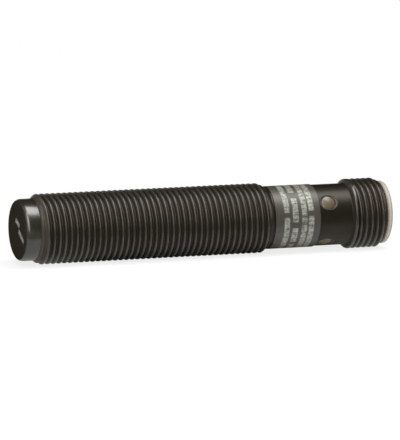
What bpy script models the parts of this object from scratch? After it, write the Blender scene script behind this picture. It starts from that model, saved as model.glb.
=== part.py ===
# Inductive proximity sensor in an M12 threaded barrel, with a plug connector at its rear end.
#
# The axis is X. The origin is the centre of the sensing face, and the connector end is at +X.
# Lengths are metres. A "station" is a distance along the axis, measured from the sensing face.
# Round pieces are described by outlines of (station, radius) points.

import math

import bmesh
import bpy
from mathutils import Matrix, Vector

# Clearances
SEAT = 0.0001  # between two faces that rest on each other
SLIP = 0.00005  # round a wire, a contact or a wrapped foil
WELD = 1e-8  # points closer than this are one point

# Barrel and its two threads
PITCH = 0.001
THREAD_DEPTH = 0.00055
CREST_WIDTH = 0.00022
ROOT_WIDTH = 0.00018
SHANK_RADIUS = 0.00522
THREAD_RISE = 0.00072  # from the shank out to the crests of both threads
TUBE_WALL = 0.00052
BORE_CHAMFER = 0.00012
THREAD_LENGTH = 0.0415
THREAD_FRONT_CHAMFER = 0.0009
THREAD_REAR_CHAMFER = 0.00115
SHANK_LENGTH = 0.01417
SHOULDER_LENGTH = 0.00045
LAND_LENGTH = 0.00046
PLUG_THREAD_LENGTH = 0.00549
PLUG_CHAMFER_LENGTH = 0.0008
PLUG_CHAMFER_DEPTH = 0.00056
RUNOUT = 0.00015
FIRST_CREST = 0.00116  # from a thread's start to a crest, on the side that faces -Y
PLUG_FIRST_CREST = 0.00057
COLUMNS = 24

# Front cap
FACE_EDGE_RADIUS = 0.0009
CAP_HEAD_LENGTH = 0.0026
CAP_FACE_THICKNESS = 0.001
CAP_SKIRT_OVERHANG = 0.00095  # past the core holder
CAP_SKIRT_WALL = 0.00085
CAP_SEAL_SETBACK = 0.00195  # from the end of the skirt

# Seal rings
SEAL_SECTION_RADIUS = 0.0002

# Coil and core
CORE_LENGTH = 0.0036
CORE_WEB = 0.001
CORE_WALL = 0.0006
COIL_SPACE = 0.00165  # between the core's post and its wall
BOBBIN_HUB_WALL = 0.0003
BOBBIN_FLANGE = 0.0003
COIL_LEAD_RADIUS = 0.0001
HOLDER_LENGTH = 0.0028

# Circuit board
BOARD_THICKNESS = 0.001
BOARD_SIDE_GAP = 0.0008  # from the board's edge to the bore's radius
BOARD_TONGUE_MARGIN = 0.0004  # outside each coil lead
BOARD_TONGUE_DEPTH = 0.0020

# Lamp windows
WINDOW_COUNT = 4
WINDOW_INSERT_GAP = 0.0005  # from the windows' flanges to the connector insert
WINDOW_ANGLE = math.radians(31.5)
WINDOW_HOLE_RADIUS = 0.0013
WINDOW_SINK_WIDTH = 0.0003
WINDOW_SINK_DEPTH = 0.0002
WINDOW_FLANGE = 0.00025
WINDOW_FLANGE_THICKNESS = 0.0004
WINDOW_DOME = 0.00018
WINDOW_RECESS = 0.00006

# Status lamps on the board
LAMP_LENGTH = 0.0010
LAMP_WIDTH = 0.0008
LAMP_HEIGHT = 0.0006
LAMP_EDGE_INSET = 0.0006

# Label
LABEL_FRONT_GAP = 0.0003  # from the end of the barrel thread
LABEL_BACK_GAP = 0.00017  # to the edge of the windows' countersinks
LABEL_THICKNESS = 0.00008
LABEL_SEAM = 0.0003
LABEL_SEAM_ANGLE = math.radians(60)

# Plug connector
RIM_LENGTH = 0.0009
RIM_SETBACK = 0.00059  # inside the radius of the plug thread's crests
RIM_EDGE_RADIUS = 0.0002
CUP_WALL = 0.00035
CUP_DEPTH = 0.0077
CUP_FLOOR = 0.0017
CUP_MOUTH_CHAMFER = 0.0002
KEY_WIDTH = 0.0012
KEY_HEIGHT = 0.0007
KEY_SETBACK = 0.0010
LUG_WIDTH = 0.0016
LUG_HEIGHT = 0.0016
LUG_LENGTH = 0.0026
CONTACT_COUNT = 4
CONTACT_CIRCLE_RADIUS = 0.0025
CONTACT_RADIUS = 0.0005
CONTACT_TIP_SETBACK = 0.0012
TAIL_RADIUS = 0.0004
TAIL_LENGTH = 0.0030
WIRE_RADIUS = 0.00018
WIRE_DROP_LENGTH = 0.0018
WIRE_FOOT_LENGTH = 0.0012

# Parts on the board: length, width and height of each body
CHIP_SIZE = (0.0049, 0.0038, 0.0014)
CHIP_LEGS = 4
CHIP_LEG_PITCH = 0.00127
CHIP_LEG_WIDTH = 0.00045
CHIP_LEG_THICKNESS = 0.0002
CHIP_LEG_REACH = 0.0010
CHIP_SETBACK = 0.0069  # from the back of the core holder to the middle of the chip
TRANSISTOR_SIZE = (0.0029, 0.0016, 0.0011)
TRANSISTOR_LEG_PITCH = 0.0019
TRANSISTOR_SETBACK = 0.0255  # behind the chip
DIODE_RADIUS = 0.0008
DIODE_LENGTH = 0.0036
DIODE_BAND = 0.0006
DIODE_SETBACK = 0.0185  # behind the chip
CAPACITOR_SIZE = (0.0032, 0.0025, 0.0016)
CAPACITOR_END = 0.0005
CAPACITOR_SETBACK = 0.0105  # behind the chip
RESISTOR_SIZE = (0.0032, 0.0016, 0.0006)
RESISTOR_END = 0.0004
RESISTOR_SETBACK = 0.0100  # behind the chip
END_STEP = 0.00004

# Stations that follow from the sizes above
BARREL_FRONT = CAP_HEAD_LENGTH + SEAT
THREAD_END = CAP_HEAD_LENGTH + THREAD_LENGTH
SHANK_END = THREAD_END + SHANK_LENGTH
LAND_START = SHANK_END + SHOULDER_LENGTH
PLUG_THREAD_START = LAND_START + LAND_LENGTH
BARREL_END = PLUG_THREAD_START + PLUG_THREAD_LENGTH
RIM_START = BARREL_END + SEAT
SENSOR_LENGTH = RIM_START + RIM_LENGTH
CUP_FLOOR_STATION = SENSOR_LENGTH - CUP_DEPTH
INSERT_FRONT = CUP_FLOOR_STATION - CUP_FLOOR
CORE_FRONT = CAP_FACE_THICKNESS + SEAT
CORE_BACK = CORE_FRONT + CORE_LENGTH
HOLDER_FRONT = CORE_BACK + SEAT
HOLDER_BACK = HOLDER_FRONT + HOLDER_LENGTH
CAP_SKIRT_END = HOLDER_BACK + CAP_SKIRT_OVERHANG
CAP_SEAL_STATION = CAP_SKIRT_END - CAP_SEAL_SETBACK
BOARD_FRONT = HOLDER_BACK - BOARD_TONGUE_DEPTH
BOARD_BACK = INSERT_FRONT - SEAT
BOARD_NECK = CAP_SKIRT_END + SEAT
WINDOW_STATION = INSERT_FRONT - WINDOW_INSERT_GAP - WINDOW_FLANGE - WINDOW_HOLE_RADIUS
LABEL_FRONT = THREAD_END + LABEL_FRONT_GAP
LABEL_BACK = WINDOW_STATION - WINDOW_HOLE_RADIUS - WINDOW_SINK_WIDTH - LABEL_BACK_GAP
CHIP_STATION = HOLDER_BACK + CHIP_SETBACK
CAPACITOR_STATION = CHIP_STATION + CAPACITOR_SETBACK
RESISTOR_STATION = CHIP_STATION + RESISTOR_SETBACK
DIODE_STATION = CHIP_STATION + DIODE_SETBACK
TRANSISTOR_STATION = CHIP_STATION + TRANSISTOR_SETBACK

# Radii and widths that follow from the sizes above
CREST_RADIUS = SHANK_RADIUS + THREAD_RISE
ROOT_RADIUS = CREST_RADIUS - THREAD_DEPTH
PLUG_END_RADIUS = CREST_RADIUS - PLUG_CHAMFER_DEPTH
RIM_RADIUS = CREST_RADIUS - RIM_SETBACK
BORE_RADIUS = SHANK_RADIUS - TUBE_WALL
SKIRT_RADIUS = BORE_RADIUS - SEAT
SKIRT_INNER_RADIUS = SKIRT_RADIUS - CAP_SKIRT_WALL
CUP_RADIUS = SKIRT_RADIUS - CUP_WALL
CORE_RADIUS = SKIRT_INNER_RADIUS - SEAT
CORE_WINDOW_RADIUS = CORE_RADIUS - CORE_WALL
CORE_POST_RADIUS = CORE_WINDOW_RADIUS - COIL_SPACE
WINDOW_SINK_RADIUS = WINDOW_HOLE_RADIUS + WINDOW_SINK_WIDTH
SEAL_GROOVE_DEPTH = 2 * SEAL_SECTION_RADIUS + SLIP
LABEL_INNER_RADIUS = SHANK_RADIUS + SLIP
BOARD_WIDTH = 2 * (BORE_RADIUS - BOARD_SIDE_GAP)
HALF_BOARD = BOARD_THICKNESS / 2

# The board, the contacts and the windows share one roll about the axis: the windows look out
# halfway between the faces and the edges of the board.
INNER_ROLL = -(WINDOW_ANGLE - math.pi / 4)
INNER_SEGMENTS = 16
SMALL_SEGMENTS = 12
SHARP_ANGLE = math.radians(25)

for leftover in list(bpy.data.objects):
    bpy.data.objects.remove(leftover)


# Materials
def material(name, color, roughness, metallic=0.0, alpha=1.0):
    made = bpy.data.materials.new(name)
    made.use_nodes = True
    shader = made.node_tree.nodes["Principled BSDF"]
    shader.inputs["Base Color"].default_value = (*color, 1.0)
    shader.inputs["Roughness"].default_value = roughness
    shader.inputs["Metallic"].default_value = metallic
    shader.inputs["Alpha"].default_value = alpha
    made.diffuse_color = (*color, alpha)
    return made


BLACK_COATED_METAL = material("black_coated_metal", (0.035, 0.032, 0.026), 0.42, 0.35)
BLACK_PLASTIC = material("black_plastic", (0.022, 0.021, 0.018), 0.28)
CREAM_PLASTIC = material("cream_plastic", (0.52, 0.47, 0.38), 0.45)
AMBER_PLASTIC = material("amber_plastic", (0.42, 0.26, 0.18), 0.2)
SILVER_FOIL = material("silver_foil", (0.21, 0.21, 0.205), 0.38, 0.5)
BLACK_RUBBER = material("black_rubber", (0.02, 0.02, 0.02), 0.7)
FERRITE = material("ferrite", (0.05, 0.05, 0.052), 0.6)
NATURAL_PLASTIC = material("natural_plastic", (0.62, 0.58, 0.48), 0.5)
COPPER = material("copper", (0.62, 0.27, 0.12), 0.3, 1.0)
GOLD_PLATE = material("gold_plate", (0.78, 0.55, 0.2), 0.25, 1.0)
BOARD_GREEN = material("board_green", (0.03, 0.16, 0.07), 0.4)
CHIP_EPOXY = material("chip_epoxy", (0.03, 0.03, 0.032), 0.5)
CERAMIC_BROWN = material("ceramic_brown", (0.36, 0.23, 0.13), 0.45)
DIODE_GLASS = material("diode_glass", (0.35, 0.08, 0.04), 0.15)
LAMP_RESIN = material("lamp_resin", (0.72, 0.52, 0.2), 0.2)
WIRE_SLEEVE = material("wire_sleeve", (0.45, 0.44, 0.42), 0.4)


# Objects and meshes
def finish(obj, skin, parent=None):
    """Give the object its material, its parent and smooth shading with sharp edges kept."""
    obj.data.materials.append(skin)
    obj.parent = parent
    if obj.type == "MESH":
        obj.data.shade_smooth()
        obj.data.set_sharp_from_angle(angle=SHARP_ANGLE)
    bpy.context.scene.collection.objects.link(obj)
    return obj


def mesh_object(name, bm):
    mesh = bpy.data.meshes.new(name)
    bmesh.ops.recalc_face_normals(bm, faces=bm.faces[:])
    bm.to_mesh(mesh)
    bm.free()
    return bpy.data.objects.new(name, mesh)


def turned_mesh(outline, segments):
    """Spin an outline of (station, radius) points about X. An outline that starts and ends
    on the axis makes a solid piece, and any other outline is closed into a ring."""
    bm = bmesh.new()
    points = [bm.verts.new((station, 0.0, radius)) for station, radius in outline]
    pairs = list(zip(points, points[1:]))
    if outline[0][1] > 0 or outline[-1][1] > 0:
        pairs.append((points[-1], points[0]))
    edges = [bm.edges.new(pair) for pair in pairs]
    bmesh.ops.spin(
        bm,
        geom=points + edges,
        cent=(0.0, 0.0, 0.0),
        axis=(1.0, 0.0, 0.0),
        angle=2 * math.pi,
        steps=segments,
        use_merge=True,
    )
    bmesh.ops.remove_doubles(bm, verts=bm.verts[:], dist=WELD)
    return bm


def turned(name, outline, skin, parent=None, segments=COLUMNS):
    return finish(mesh_object(name, turned_mesh(outline, segments)), skin, parent)


def add_block(bm, size, centre):
    made = bmesh.ops.create_cube(bm, size=1.0, matrix=Matrix.LocRotScale(centre, None, size))
    return made["verts"]


def block(name, size, centre, skin, parent=None, bevel=0.0):
    bm = bmesh.new()
    add_block(bm, size, Vector(centre))
    if bevel > 0:
        bmesh.ops.bevel(bm, geom=bm.edges[:], offset=bevel, segments=1, affect="EDGES")
    return finish(mesh_object(name, bm), skin, parent)


def prism(name, outline, skin, parent, axis_vector):
    """Extrude a flat outline of points along a vector."""
    bm = bmesh.new()
    base = bm.faces.new([bm.verts.new(point) for point in outline])
    moved = bmesh.ops.extrude_face_region(bm, geom=[base])
    tops = [item for item in moved["geom"] if isinstance(item, bmesh.types.BMVert)]
    bmesh.ops.translate(bm, vec=Vector(axis_vector), verts=tops)
    return finish(mesh_object(name, bm), skin, parent)


def arc(centre_station, centre_radius, size, start, end, steps):
    """Points on a quarter or half round of an outline. Angles run from +station to +radius."""
    angles = [start + (end - start) * step / steps for step in range(steps + 1)]
    return [
        (centre_station + size * math.cos(a), centre_radius + size * math.sin(a)) for a in angles
    ]


def helper(obj):
    """Hide an object that only cuts or joins."""
    obj.hide_render = True
    obj.display_type = "WIRE"
    return obj


def combine(target, other, operation):
    change = target.modifiers.new(other.name, "BOOLEAN")
    change.operation = operation
    change.solver = "EXACT"
    change.object = helper(other)


def wire(name, points, radius, skin, parent):
    """A round wire along a chain of points."""
    curve = bpy.data.curves.new(name, "CURVE")
    curve.dimensions = "3D"
    curve.bevel_depth = radius
    curve.bevel_resolution = 1
    curve.use_fill_caps = True
    spline = curve.splines.new("POLY")
    spline.points.add(len(points) - 1)
    for slot, point in zip(spline.points, points):
        slot.co = (*point, 1.0)
    return finish(bpy.data.objects.new(name, curve), skin, parent)


# The threads are one grid of points. Its columns run along the barrel, and its rows follow
# the helix, so that each row climbs one pitch in one turn and joins the row one pitch on.
CREST_START = -CREST_WIDTH / 2
CREST_END = CREST_WIDTH / 2
ROOT_START = PITCH / 2 - ROOT_WIDTH / 2
ROOT_END = PITCH / 2 + ROOT_WIDTH / 2
ROW_OFFSETS = (CREST_START, CREST_END, ROOT_START, ROOT_END)
ROW_RADII = (CREST_RADIUS, CREST_RADIUS, ROOT_RADIUS, ROOT_RADIUS)
SHORTEST_STEP = PITCH / 16


def column_angle(column):
    """A flat between two columns faces straight down."""
    return -math.pi / 2 + (column - 0.5) * 2 * math.pi / COLUMNS


def column_point(bm, column, station, radius):
    angle = column_angle(column)
    return bm.verts.new((station, radius * math.cos(angle), radius * math.sin(angle)))


def ring(bm, station, radius):
    return [column_point(bm, column, station, radius) for column in range(COLUMNS)]


def limited_radius(radius, station, limits):
    """Hold a thread point between the run-out below it and the chamfers above it.
    A limit is (station, radius, slope, how), and how is min or max."""
    for limit_station, limit_radius, slope, how in limits:
        radius = how(radius, limit_radius + slope * (station - limit_station))
    return radius


def helix_row(bm, row, front, back, front_ring, back_ring, crest_station, limits):
    """The points of one helix row. Past the section's ends it stays on the end rings."""
    turn, part = divmod(row, len(ROW_OFFSETS))
    points = []
    for column in range(COLUMNS + 1):
        climb = PITCH * (column_angle(column) - math.pi) / (2 * math.pi)
        station = crest_station + turn * PITCH + ROW_OFFSETS[part] + climb
        if station < front + SHORTEST_STEP:
            points.append(front_ring[column % COLUMNS])
        elif station > back - SHORTEST_STEP:
            points.append(back_ring[column % COLUMNS])
        elif column < COLUMNS:
            radius = limited_radius(ROW_RADII[part], station, limits)
            points.append(column_point(bm, column, station, radius))
        else:
            points.append(None)
    return points


def thread(bm, front_ring, back_ring, front, back, crest_station, limits):
    """Fill the barrel between two rings with a right-hand thread."""
    per_turn = len(ROW_OFFSETS)
    first = per_turn * (math.floor((front - crest_station) / PITCH) - 1)
    last = per_turn * (math.ceil((back - crest_station) / PITCH) + 2)
    rows = [
        helix_row(bm, row, front, back, front_ring, back_ring, crest_station, limits)
        for row in range(first, last)
    ]
    for row in range(len(rows) - 1):
        for column in range(COLUMNS):
            corners = [
                rows[row][column],
                rows[row + 1][column],
                row_end(rows, row + 1, column, per_turn),
                row_end(rows, row, column, per_turn),
            ]
            add_face(bm, corners)


def row_end(rows, row, column, per_turn):
    """The point after a row's column. The last one is the first point of the row one turn on."""
    point = rows[row][column + 1]
    if point is None:
        point = rows[row + per_turn][0]
    return point


def add_face(bm, corners):
    """A face on the corners that differ, and none where they fall together."""
    kept = []
    for corner in corners:
        if corner not in kept:
            kept.append(corner)
    if len(kept) > 2:
        bm.faces.new(kept)


def band(bm, one, other):
    for column in range(COLUMNS):
        after = (column + 1) % COLUMNS
        bm.faces.new((one[column], one[after], other[after], other[column]))


def barrel_mesh():
    """The turned tube: barrel thread, shank, shoulder and plug thread outside, one bore inside."""
    bm = bmesh.new()
    front_cone = (CREST_RADIUS - SHANK_RADIUS) / THREAD_FRONT_CHAMFER
    rear_cone = (CREST_RADIUS - SHANK_RADIUS) / THREAD_REAR_CHAMFER
    plug_cone = (CREST_RADIUS - PLUG_END_RADIUS) / PLUG_CHAMFER_LENGTH
    runout_cone = THREAD_DEPTH / RUNOUT

    front = ring(bm, BARREL_FRONT, SHANK_RADIUS)
    thread_end = ring(bm, THREAD_END, SHANK_RADIUS)
    shank_end = ring(bm, SHANK_END, SHANK_RADIUS)
    land_start = ring(bm, LAND_START, CREST_RADIUS)
    land_end = ring(bm, PLUG_THREAD_START, CREST_RADIUS)
    back = ring(bm, BARREL_END, PLUG_END_RADIUS)
    back_mouth = ring(bm, BARREL_END, BORE_RADIUS + BORE_CHAMFER)
    back_bore = ring(bm, BARREL_END - BORE_CHAMFER, BORE_RADIUS)
    front_bore = ring(bm, BARREL_FRONT + BORE_CHAMFER, BORE_RADIUS)
    front_mouth = ring(bm, BARREL_FRONT, BORE_RADIUS + BORE_CHAMFER)

    thread(
        bm,
        front,
        thread_end,
        BARREL_FRONT,
        THREAD_END,
        BARREL_FRONT + FIRST_CREST,
        [
            (BARREL_FRONT, SHANK_RADIUS, front_cone, min),
            (THREAD_END, SHANK_RADIUS, -rear_cone, min),
        ],
    )
    band(bm, thread_end, shank_end)
    band(bm, shank_end, land_start)
    band(bm, land_start, land_end)
    thread(
        bm,
        land_end,
        back,
        PLUG_THREAD_START,
        BARREL_END,
        PLUG_THREAD_START + PLUG_FIRST_CREST,
        [
            (PLUG_THREAD_START, CREST_RADIUS, -runout_cone, max),
            (BARREL_END, PLUG_END_RADIUS, -plug_cone, min),
        ],
    )
    band(bm, back, back_mouth)
    band(bm, back_mouth, back_bore)
    band(bm, back_bore, front_bore)
    band(bm, front_bore, front_mouth)
    band(bm, front_mouth, front)
    return bm


def window_frame(index):
    """A window's axis, as a turn about X and then of the spin axis onto the radius."""
    angle = math.pi / 4 + index * 2 * math.pi / WINDOW_COUNT
    outward = Matrix.Rotation(-math.pi / 2, 4, "Y")
    return (
        Matrix.Translation((WINDOW_STATION, 0.0, 0.0))
        @ Matrix.Rotation(angle - math.pi / 2, 4, "X")
        @ outward
    )


def make_barrel(core):
    """The barrel, with a countersunk hole for each lamp window."""
    barrel = finish(mesh_object("barrel", barrel_mesh()), BLACK_COATED_METAL)
    sink_slope = (WINDOW_SINK_RADIUS - WINDOW_HOLE_RADIUS) / WINDOW_SINK_DEPTH
    overshoot = SHANK_RADIUS / 10
    outline = [
        (BORE_RADIUS / 2, 0.0),
        (BORE_RADIUS / 2, WINDOW_HOLE_RADIUS),
        (SHANK_RADIUS - WINDOW_SINK_DEPTH, WINDOW_HOLE_RADIUS),
        (SHANK_RADIUS + overshoot, WINDOW_SINK_RADIUS + sink_slope * overshoot),
        (SHANK_RADIUS + overshoot, 0.0),
    ]
    for index in range(WINDOW_COUNT):
        name = f"window_cutter_{index + 1}"
        cutter = turned(name, outline, AMBER_PLASTIC, core, INNER_SEGMENTS)
        cutter.matrix_local = window_frame(index)
        combine(barrel, cutter, "DIFFERENCE")
    return barrel


def make_windows(core):
    """Moulded plugs that fill the holes from inside, each with a flange behind the wall."""
    stem = WINDOW_HOLE_RADIUS - SLIP
    flange = WINDOW_HOLE_RADIUS + WINDOW_FLANGE
    flange_top = math.sqrt((BORE_RADIUS - SEAT) ** 2 - flange**2)
    edge = SHANK_RADIUS - WINDOW_SINK_DEPTH
    top = SHANK_RADIUS - WINDOW_RECESS
    outline = [
        (flange_top - WINDOW_FLANGE_THICKNESS, 0.0),
        (flange_top - WINDOW_FLANGE_THICKNESS, flange),
        (flange_top, flange),
        (flange_top, stem),
        (edge, stem),
        (top - WINDOW_DOME / 6, stem / 2),
        (top, 0.0),
    ]
    for index in range(WINDOW_COUNT):
        name = f"lamp_window_{index + 1}"
        window = turned(name, outline, AMBER_PLASTIC, core, INNER_SEGMENTS)
        window.matrix_local = window_frame(index)


def seal_groove(station):
    """The four corners of a groove in a surface of the skirt's radius, front to back."""
    half = SEAL_SECTION_RADIUS + SLIP
    floor = SKIRT_RADIUS - SEAL_GROOVE_DEPTH
    return [
        (station - half, SKIRT_RADIUS),
        (station - half, floor),
        (station + half, floor),
        (station + half, SKIRT_RADIUS),
    ]


def make_seal(name, station):
    section = arc(
        station,
        SKIRT_RADIUS - SEAL_SECTION_RADIUS,
        SEAL_SECTION_RADIUS,
        0.0,
        2 * math.pi,
        6,
    )
    turned(name, section[:-1], BLACK_RUBBER, segments=COLUMNS)


def make_front_cap():
    """The moulded cap: a head with a rounded edge, flush with the barrel, and a skirt inside it."""
    edge = arc(
        FACE_EDGE_RADIUS,
        SHANK_RADIUS - FACE_EDGE_RADIUS,
        FACE_EDGE_RADIUS,
        math.pi,
        math.pi / 2,
        5,
    )
    outline = [
        (0.0, 0.0),
        *edge,
        (CAP_HEAD_LENGTH, SHANK_RADIUS),
        (CAP_HEAD_LENGTH, SKIRT_RADIUS),
        *seal_groove(CAP_SEAL_STATION),
        (CAP_SKIRT_END, SKIRT_RADIUS),
        (CAP_SKIRT_END, SKIRT_INNER_RADIUS),
        (CAP_FACE_THICKNESS, SKIRT_INNER_RADIUS),
        (CAP_FACE_THICKNESS, 0.0),
    ]
    turned("front_cap", outline, BLACK_PLASTIC)
    make_seal("cap_seal", CAP_SEAL_STATION)


# Sensing coil
WINDOW_FLOOR = CORE_BACK - CORE_WEB
BOBBIN_FRONT = CORE_FRONT + SEAT
BOBBIN_BACK = WINDOW_FLOOR - SEAT
BOBBIN_BORE = CORE_POST_RADIUS + SLIP
BOBBIN_HUB_RADIUS = BOBBIN_BORE + BOBBIN_HUB_WALL
BOBBIN_RADIUS = CORE_WINDOW_RADIUS - SEAT
COIL_LEAD_OFFSET = (BOBBIN_HUB_RADIUS + BOBBIN_RADIUS) / 2
BOARD_TONGUE_WIDTH = 2 * (COIL_LEAD_OFFSET + BOARD_TONGUE_MARGIN)
WINDING_FRONT = BOBBIN_FRONT + BOBBIN_FLANGE + SLIP
WINDING_BACK = BOBBIN_BACK - BOBBIN_FLANGE - SLIP
WINDING_ROUND = 0.0001
COIL_LEAD_HEIGHT = HALF_BOARD + COIL_LEAD_RADIUS + SLIP
COIL_LEAD_FOOT = 0.0016


def make_coil(core):
    """Pot core, bobbin and winding, with two leads that run back onto the board."""
    pot = turned(
        "ferrite_core",
        [
            (CORE_FRONT, 0.0),
            (CORE_FRONT, CORE_POST_RADIUS),
            (WINDOW_FLOOR, CORE_POST_RADIUS),
            (WINDOW_FLOOR, CORE_WINDOW_RADIUS),
            (CORE_FRONT, CORE_WINDOW_RADIUS),
            (CORE_FRONT, CORE_RADIUS),
            (CORE_BACK, CORE_RADIUS),
            (CORE_BACK, 0.0),
        ],
        FERRITE,
        core,
        INNER_SEGMENTS,
    )
    bobbin = turned(
        "coil_bobbin",
        [
            (BOBBIN_FRONT, BOBBIN_BORE),
            (BOBBIN_FRONT, BOBBIN_RADIUS),
            (BOBBIN_FRONT + BOBBIN_FLANGE, BOBBIN_RADIUS),
            (BOBBIN_FRONT + BOBBIN_FLANGE, BOBBIN_HUB_RADIUS),
            (BOBBIN_BACK - BOBBIN_FLANGE, BOBBIN_HUB_RADIUS),
            (BOBBIN_BACK - BOBBIN_FLANGE, BOBBIN_RADIUS),
            (BOBBIN_BACK, BOBBIN_RADIUS),
            (BOBBIN_BACK, BOBBIN_BORE),
        ],
        NATURAL_PLASTIC,
        core,
        INNER_SEGMENTS,
    )
    low = BOBBIN_HUB_RADIUS + SLIP
    high = BOBBIN_RADIUS - SLIP
    turned(
        "coil_winding",
        [
            (WINDING_FRONT, low),
            (WINDING_FRONT, high - WINDING_ROUND),
            (WINDING_FRONT + WINDING_ROUND, high),
            (WINDING_BACK - WINDING_ROUND, high),
            (WINDING_BACK, high - WINDING_ROUND),
            (WINDING_BACK, low),
        ],
        COPPER,
        core,
        INNER_SEGMENTS,
    )
    lead_hole = [
        (WINDING_BACK, 0.0),
        (WINDING_BACK, COIL_LEAD_RADIUS + SLIP),
        (HOLDER_FRONT, COIL_LEAD_RADIUS + SLIP),
        (HOLDER_FRONT, 0.0),
    ]
    for index, side in enumerate((1, -1)):
        offset = side * COIL_LEAD_OFFSET
        wire(
            f"coil_lead_{index + 1}",
            [
                (WINDING_BACK + SLIP, offset, COIL_LEAD_HEIGHT),
                (HOLDER_BACK + COIL_LEAD_FOOT, offset, COIL_LEAD_HEIGHT),
            ],
            COIL_LEAD_RADIUS,
            COPPER,
            core,
        )
        cutter = turned(f"lead_cutter_{index + 1}", lead_hole, COPPER, core, SMALL_SEGMENTS)
        cutter.location = (0.0, offset, COIL_LEAD_HEIGHT)
        combine(pot, cutter, "DIFFERENCE")
        combine(bobbin, cutter, "DIFFERENCE")


def make_core_holder(core):
    """The plastic disc behind the pot core, slotted for the board and the two leads."""
    holder = turned(
        "core_holder",
        [
            (HOLDER_FRONT, 0.0),
            (HOLDER_FRONT, CORE_RADIUS),
            (HOLDER_BACK, CORE_RADIUS),
            (HOLDER_BACK, 0.0),
        ],
        NATURAL_PLASTIC,
        core,
        INNER_SEGMENTS,
    )
    slot_top = COIL_LEAD_HEIGHT + COIL_LEAD_RADIUS + SLIP
    slot_bottom = -HALF_BOARD - SEAT
    slot_size = (
        2 * HOLDER_LENGTH,
        BOARD_TONGUE_WIDTH + 2 * SEAT,
        slot_top - slot_bottom,
    )
    slot_centre = ((HOLDER_FRONT + HOLDER_BACK) / 2, 0.0, (slot_top + slot_bottom) / 2)
    slot = block("holder_slot", slot_size, slot_centre, NATURAL_PLASTIC, core)
    combine(holder, slot, "DIFFERENCE")


# Circuit board and what is soldered to it
LAMP_OFFSET = BOARD_WIDTH / 2 - LAMP_EDGE_INSET - LAMP_WIDTH / 2
BOARD_FACE = HALF_BOARD + SLIP


def make_board(core):
    """A long board with a tongue at the front that plugs into the core holder."""
    half_tongue = BOARD_TONGUE_WIDTH / 2
    half_width = BOARD_WIDTH / 2
    corner = half_width - half_tongue
    outline = [
        (BOARD_FRONT, -half_tongue, -HALF_BOARD),
        (BOARD_NECK, -half_tongue, -HALF_BOARD),
        (BOARD_NECK + corner, -half_width, -HALF_BOARD),
        (BOARD_BACK, -half_width, -HALF_BOARD),
        (BOARD_BACK, half_width, -HALF_BOARD),
        (BOARD_NECK + corner, half_width, -HALF_BOARD),
        (BOARD_NECK, half_tongue, -HALF_BOARD),
        (BOARD_FRONT, half_tongue, -HALF_BOARD),
    ]
    prism("circuit_board", outline, BOARD_GREEN, core, (0.0, 0.0, BOARD_THICKNESS))


def leg_outline(inner, reach, thickness, drop):
    """The side of a bent lead: out of the body, down, and out along the board."""
    knee = inner + reach / 2
    toe = inner + reach
    return [
        (inner, drop),
        (knee - thickness, drop),
        (knee - thickness, 0.0),
        (toe, 0.0),
        (toe, thickness),
        (knee, thickness),
        (knee, drop + thickness),
        (inner, drop + thickness),
    ]


def legged_part(name, size, station, left_legs, right_legs, pitch, core):
    """A moulded body on bent legs. Each leg runs out sideways from the body's middle."""
    height = size[2]
    lift = CHIP_LEG_THICKNESS
    centre = (station, 0.0, BOARD_FACE + lift + height / 2)
    body = block(name, size, centre, CHIP_EPOXY, core, bevel=height / 10)
    drop = lift + height / 2 - CHIP_LEG_THICKNESS / 2
    inner = size[1] / 2 - CHIP_LEG_THICKNESS
    outline = leg_outline(inner, CHIP_LEG_REACH, CHIP_LEG_THICKNESS, drop)
    for side, side_name, count in ((-1, "left", left_legs), (1, "right", right_legs)):
        for leg in range(count):
            edge = station + (leg - (count - 1) / 2) * pitch - CHIP_LEG_WIDTH / 2
            points = [(edge, side * y, BOARD_FACE + z) for y, z in outline]
            piece_name = f"{name}_{side_name}_leg_{leg + 1}"
            along = (CHIP_LEG_WIDTH, 0.0, 0.0)
            combine(body, prism(piece_name, points, CHIP_EPOXY, core, along), "UNION")


def capped_part(name, size, end, station, skin, core, below):
    """A ceramic block whose soldered ends stand a little proud of its middle."""
    length, width, height = size
    side = -1 if below else 1
    half = length / 2
    bm = bmesh.new()
    stations = [-half, -half + end, -half + end, half - end, half - end, half]
    steps = [0.0, 0.0, END_STEP, END_STEP, 0.0, 0.0]
    loops = []
    for offset, step in zip(stations, steps):
        half_width = width / 2 - step
        low = BOARD_FACE + step
        high = BOARD_FACE + height - step
        corners = [(-half_width, low), (half_width, low), (half_width, high), (-half_width, high)]
        loops.append([bm.verts.new((station + offset, y, side * z)) for y, z in corners])
    for one, other in zip(loops, loops[1:]):
        for corner in range(4):
            after = (corner + 1) % 4
            bm.faces.new((one[corner], one[after], other[after], other[corner]))
    bm.faces.new(loops[0])
    bm.faces.new(loops[-1])
    return finish(mesh_object(name, bm), skin, core)


def make_diode(core):
    """A round diode under the board, with a metal band at each end."""
    band_radius = DIODE_RADIUS
    glass_radius = DIODE_RADIUS - END_STEP
    half = DIODE_LENGTH / 2
    outline = [
        (-half, 0.0),
        (-half, band_radius),
        (-half + DIODE_BAND, band_radius),
        (-half + DIODE_BAND, glass_radius),
        (half - DIODE_BAND, glass_radius),
        (half - DIODE_BAND, band_radius),
        (half, band_radius),
        (half, 0.0),
    ]
    diode = turned("surge_diode", outline, DIODE_GLASS, core, SMALL_SEGMENTS)
    diode.location = (DIODE_STATION, 0.0, -BOARD_FACE - DIODE_RADIUS)


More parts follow.
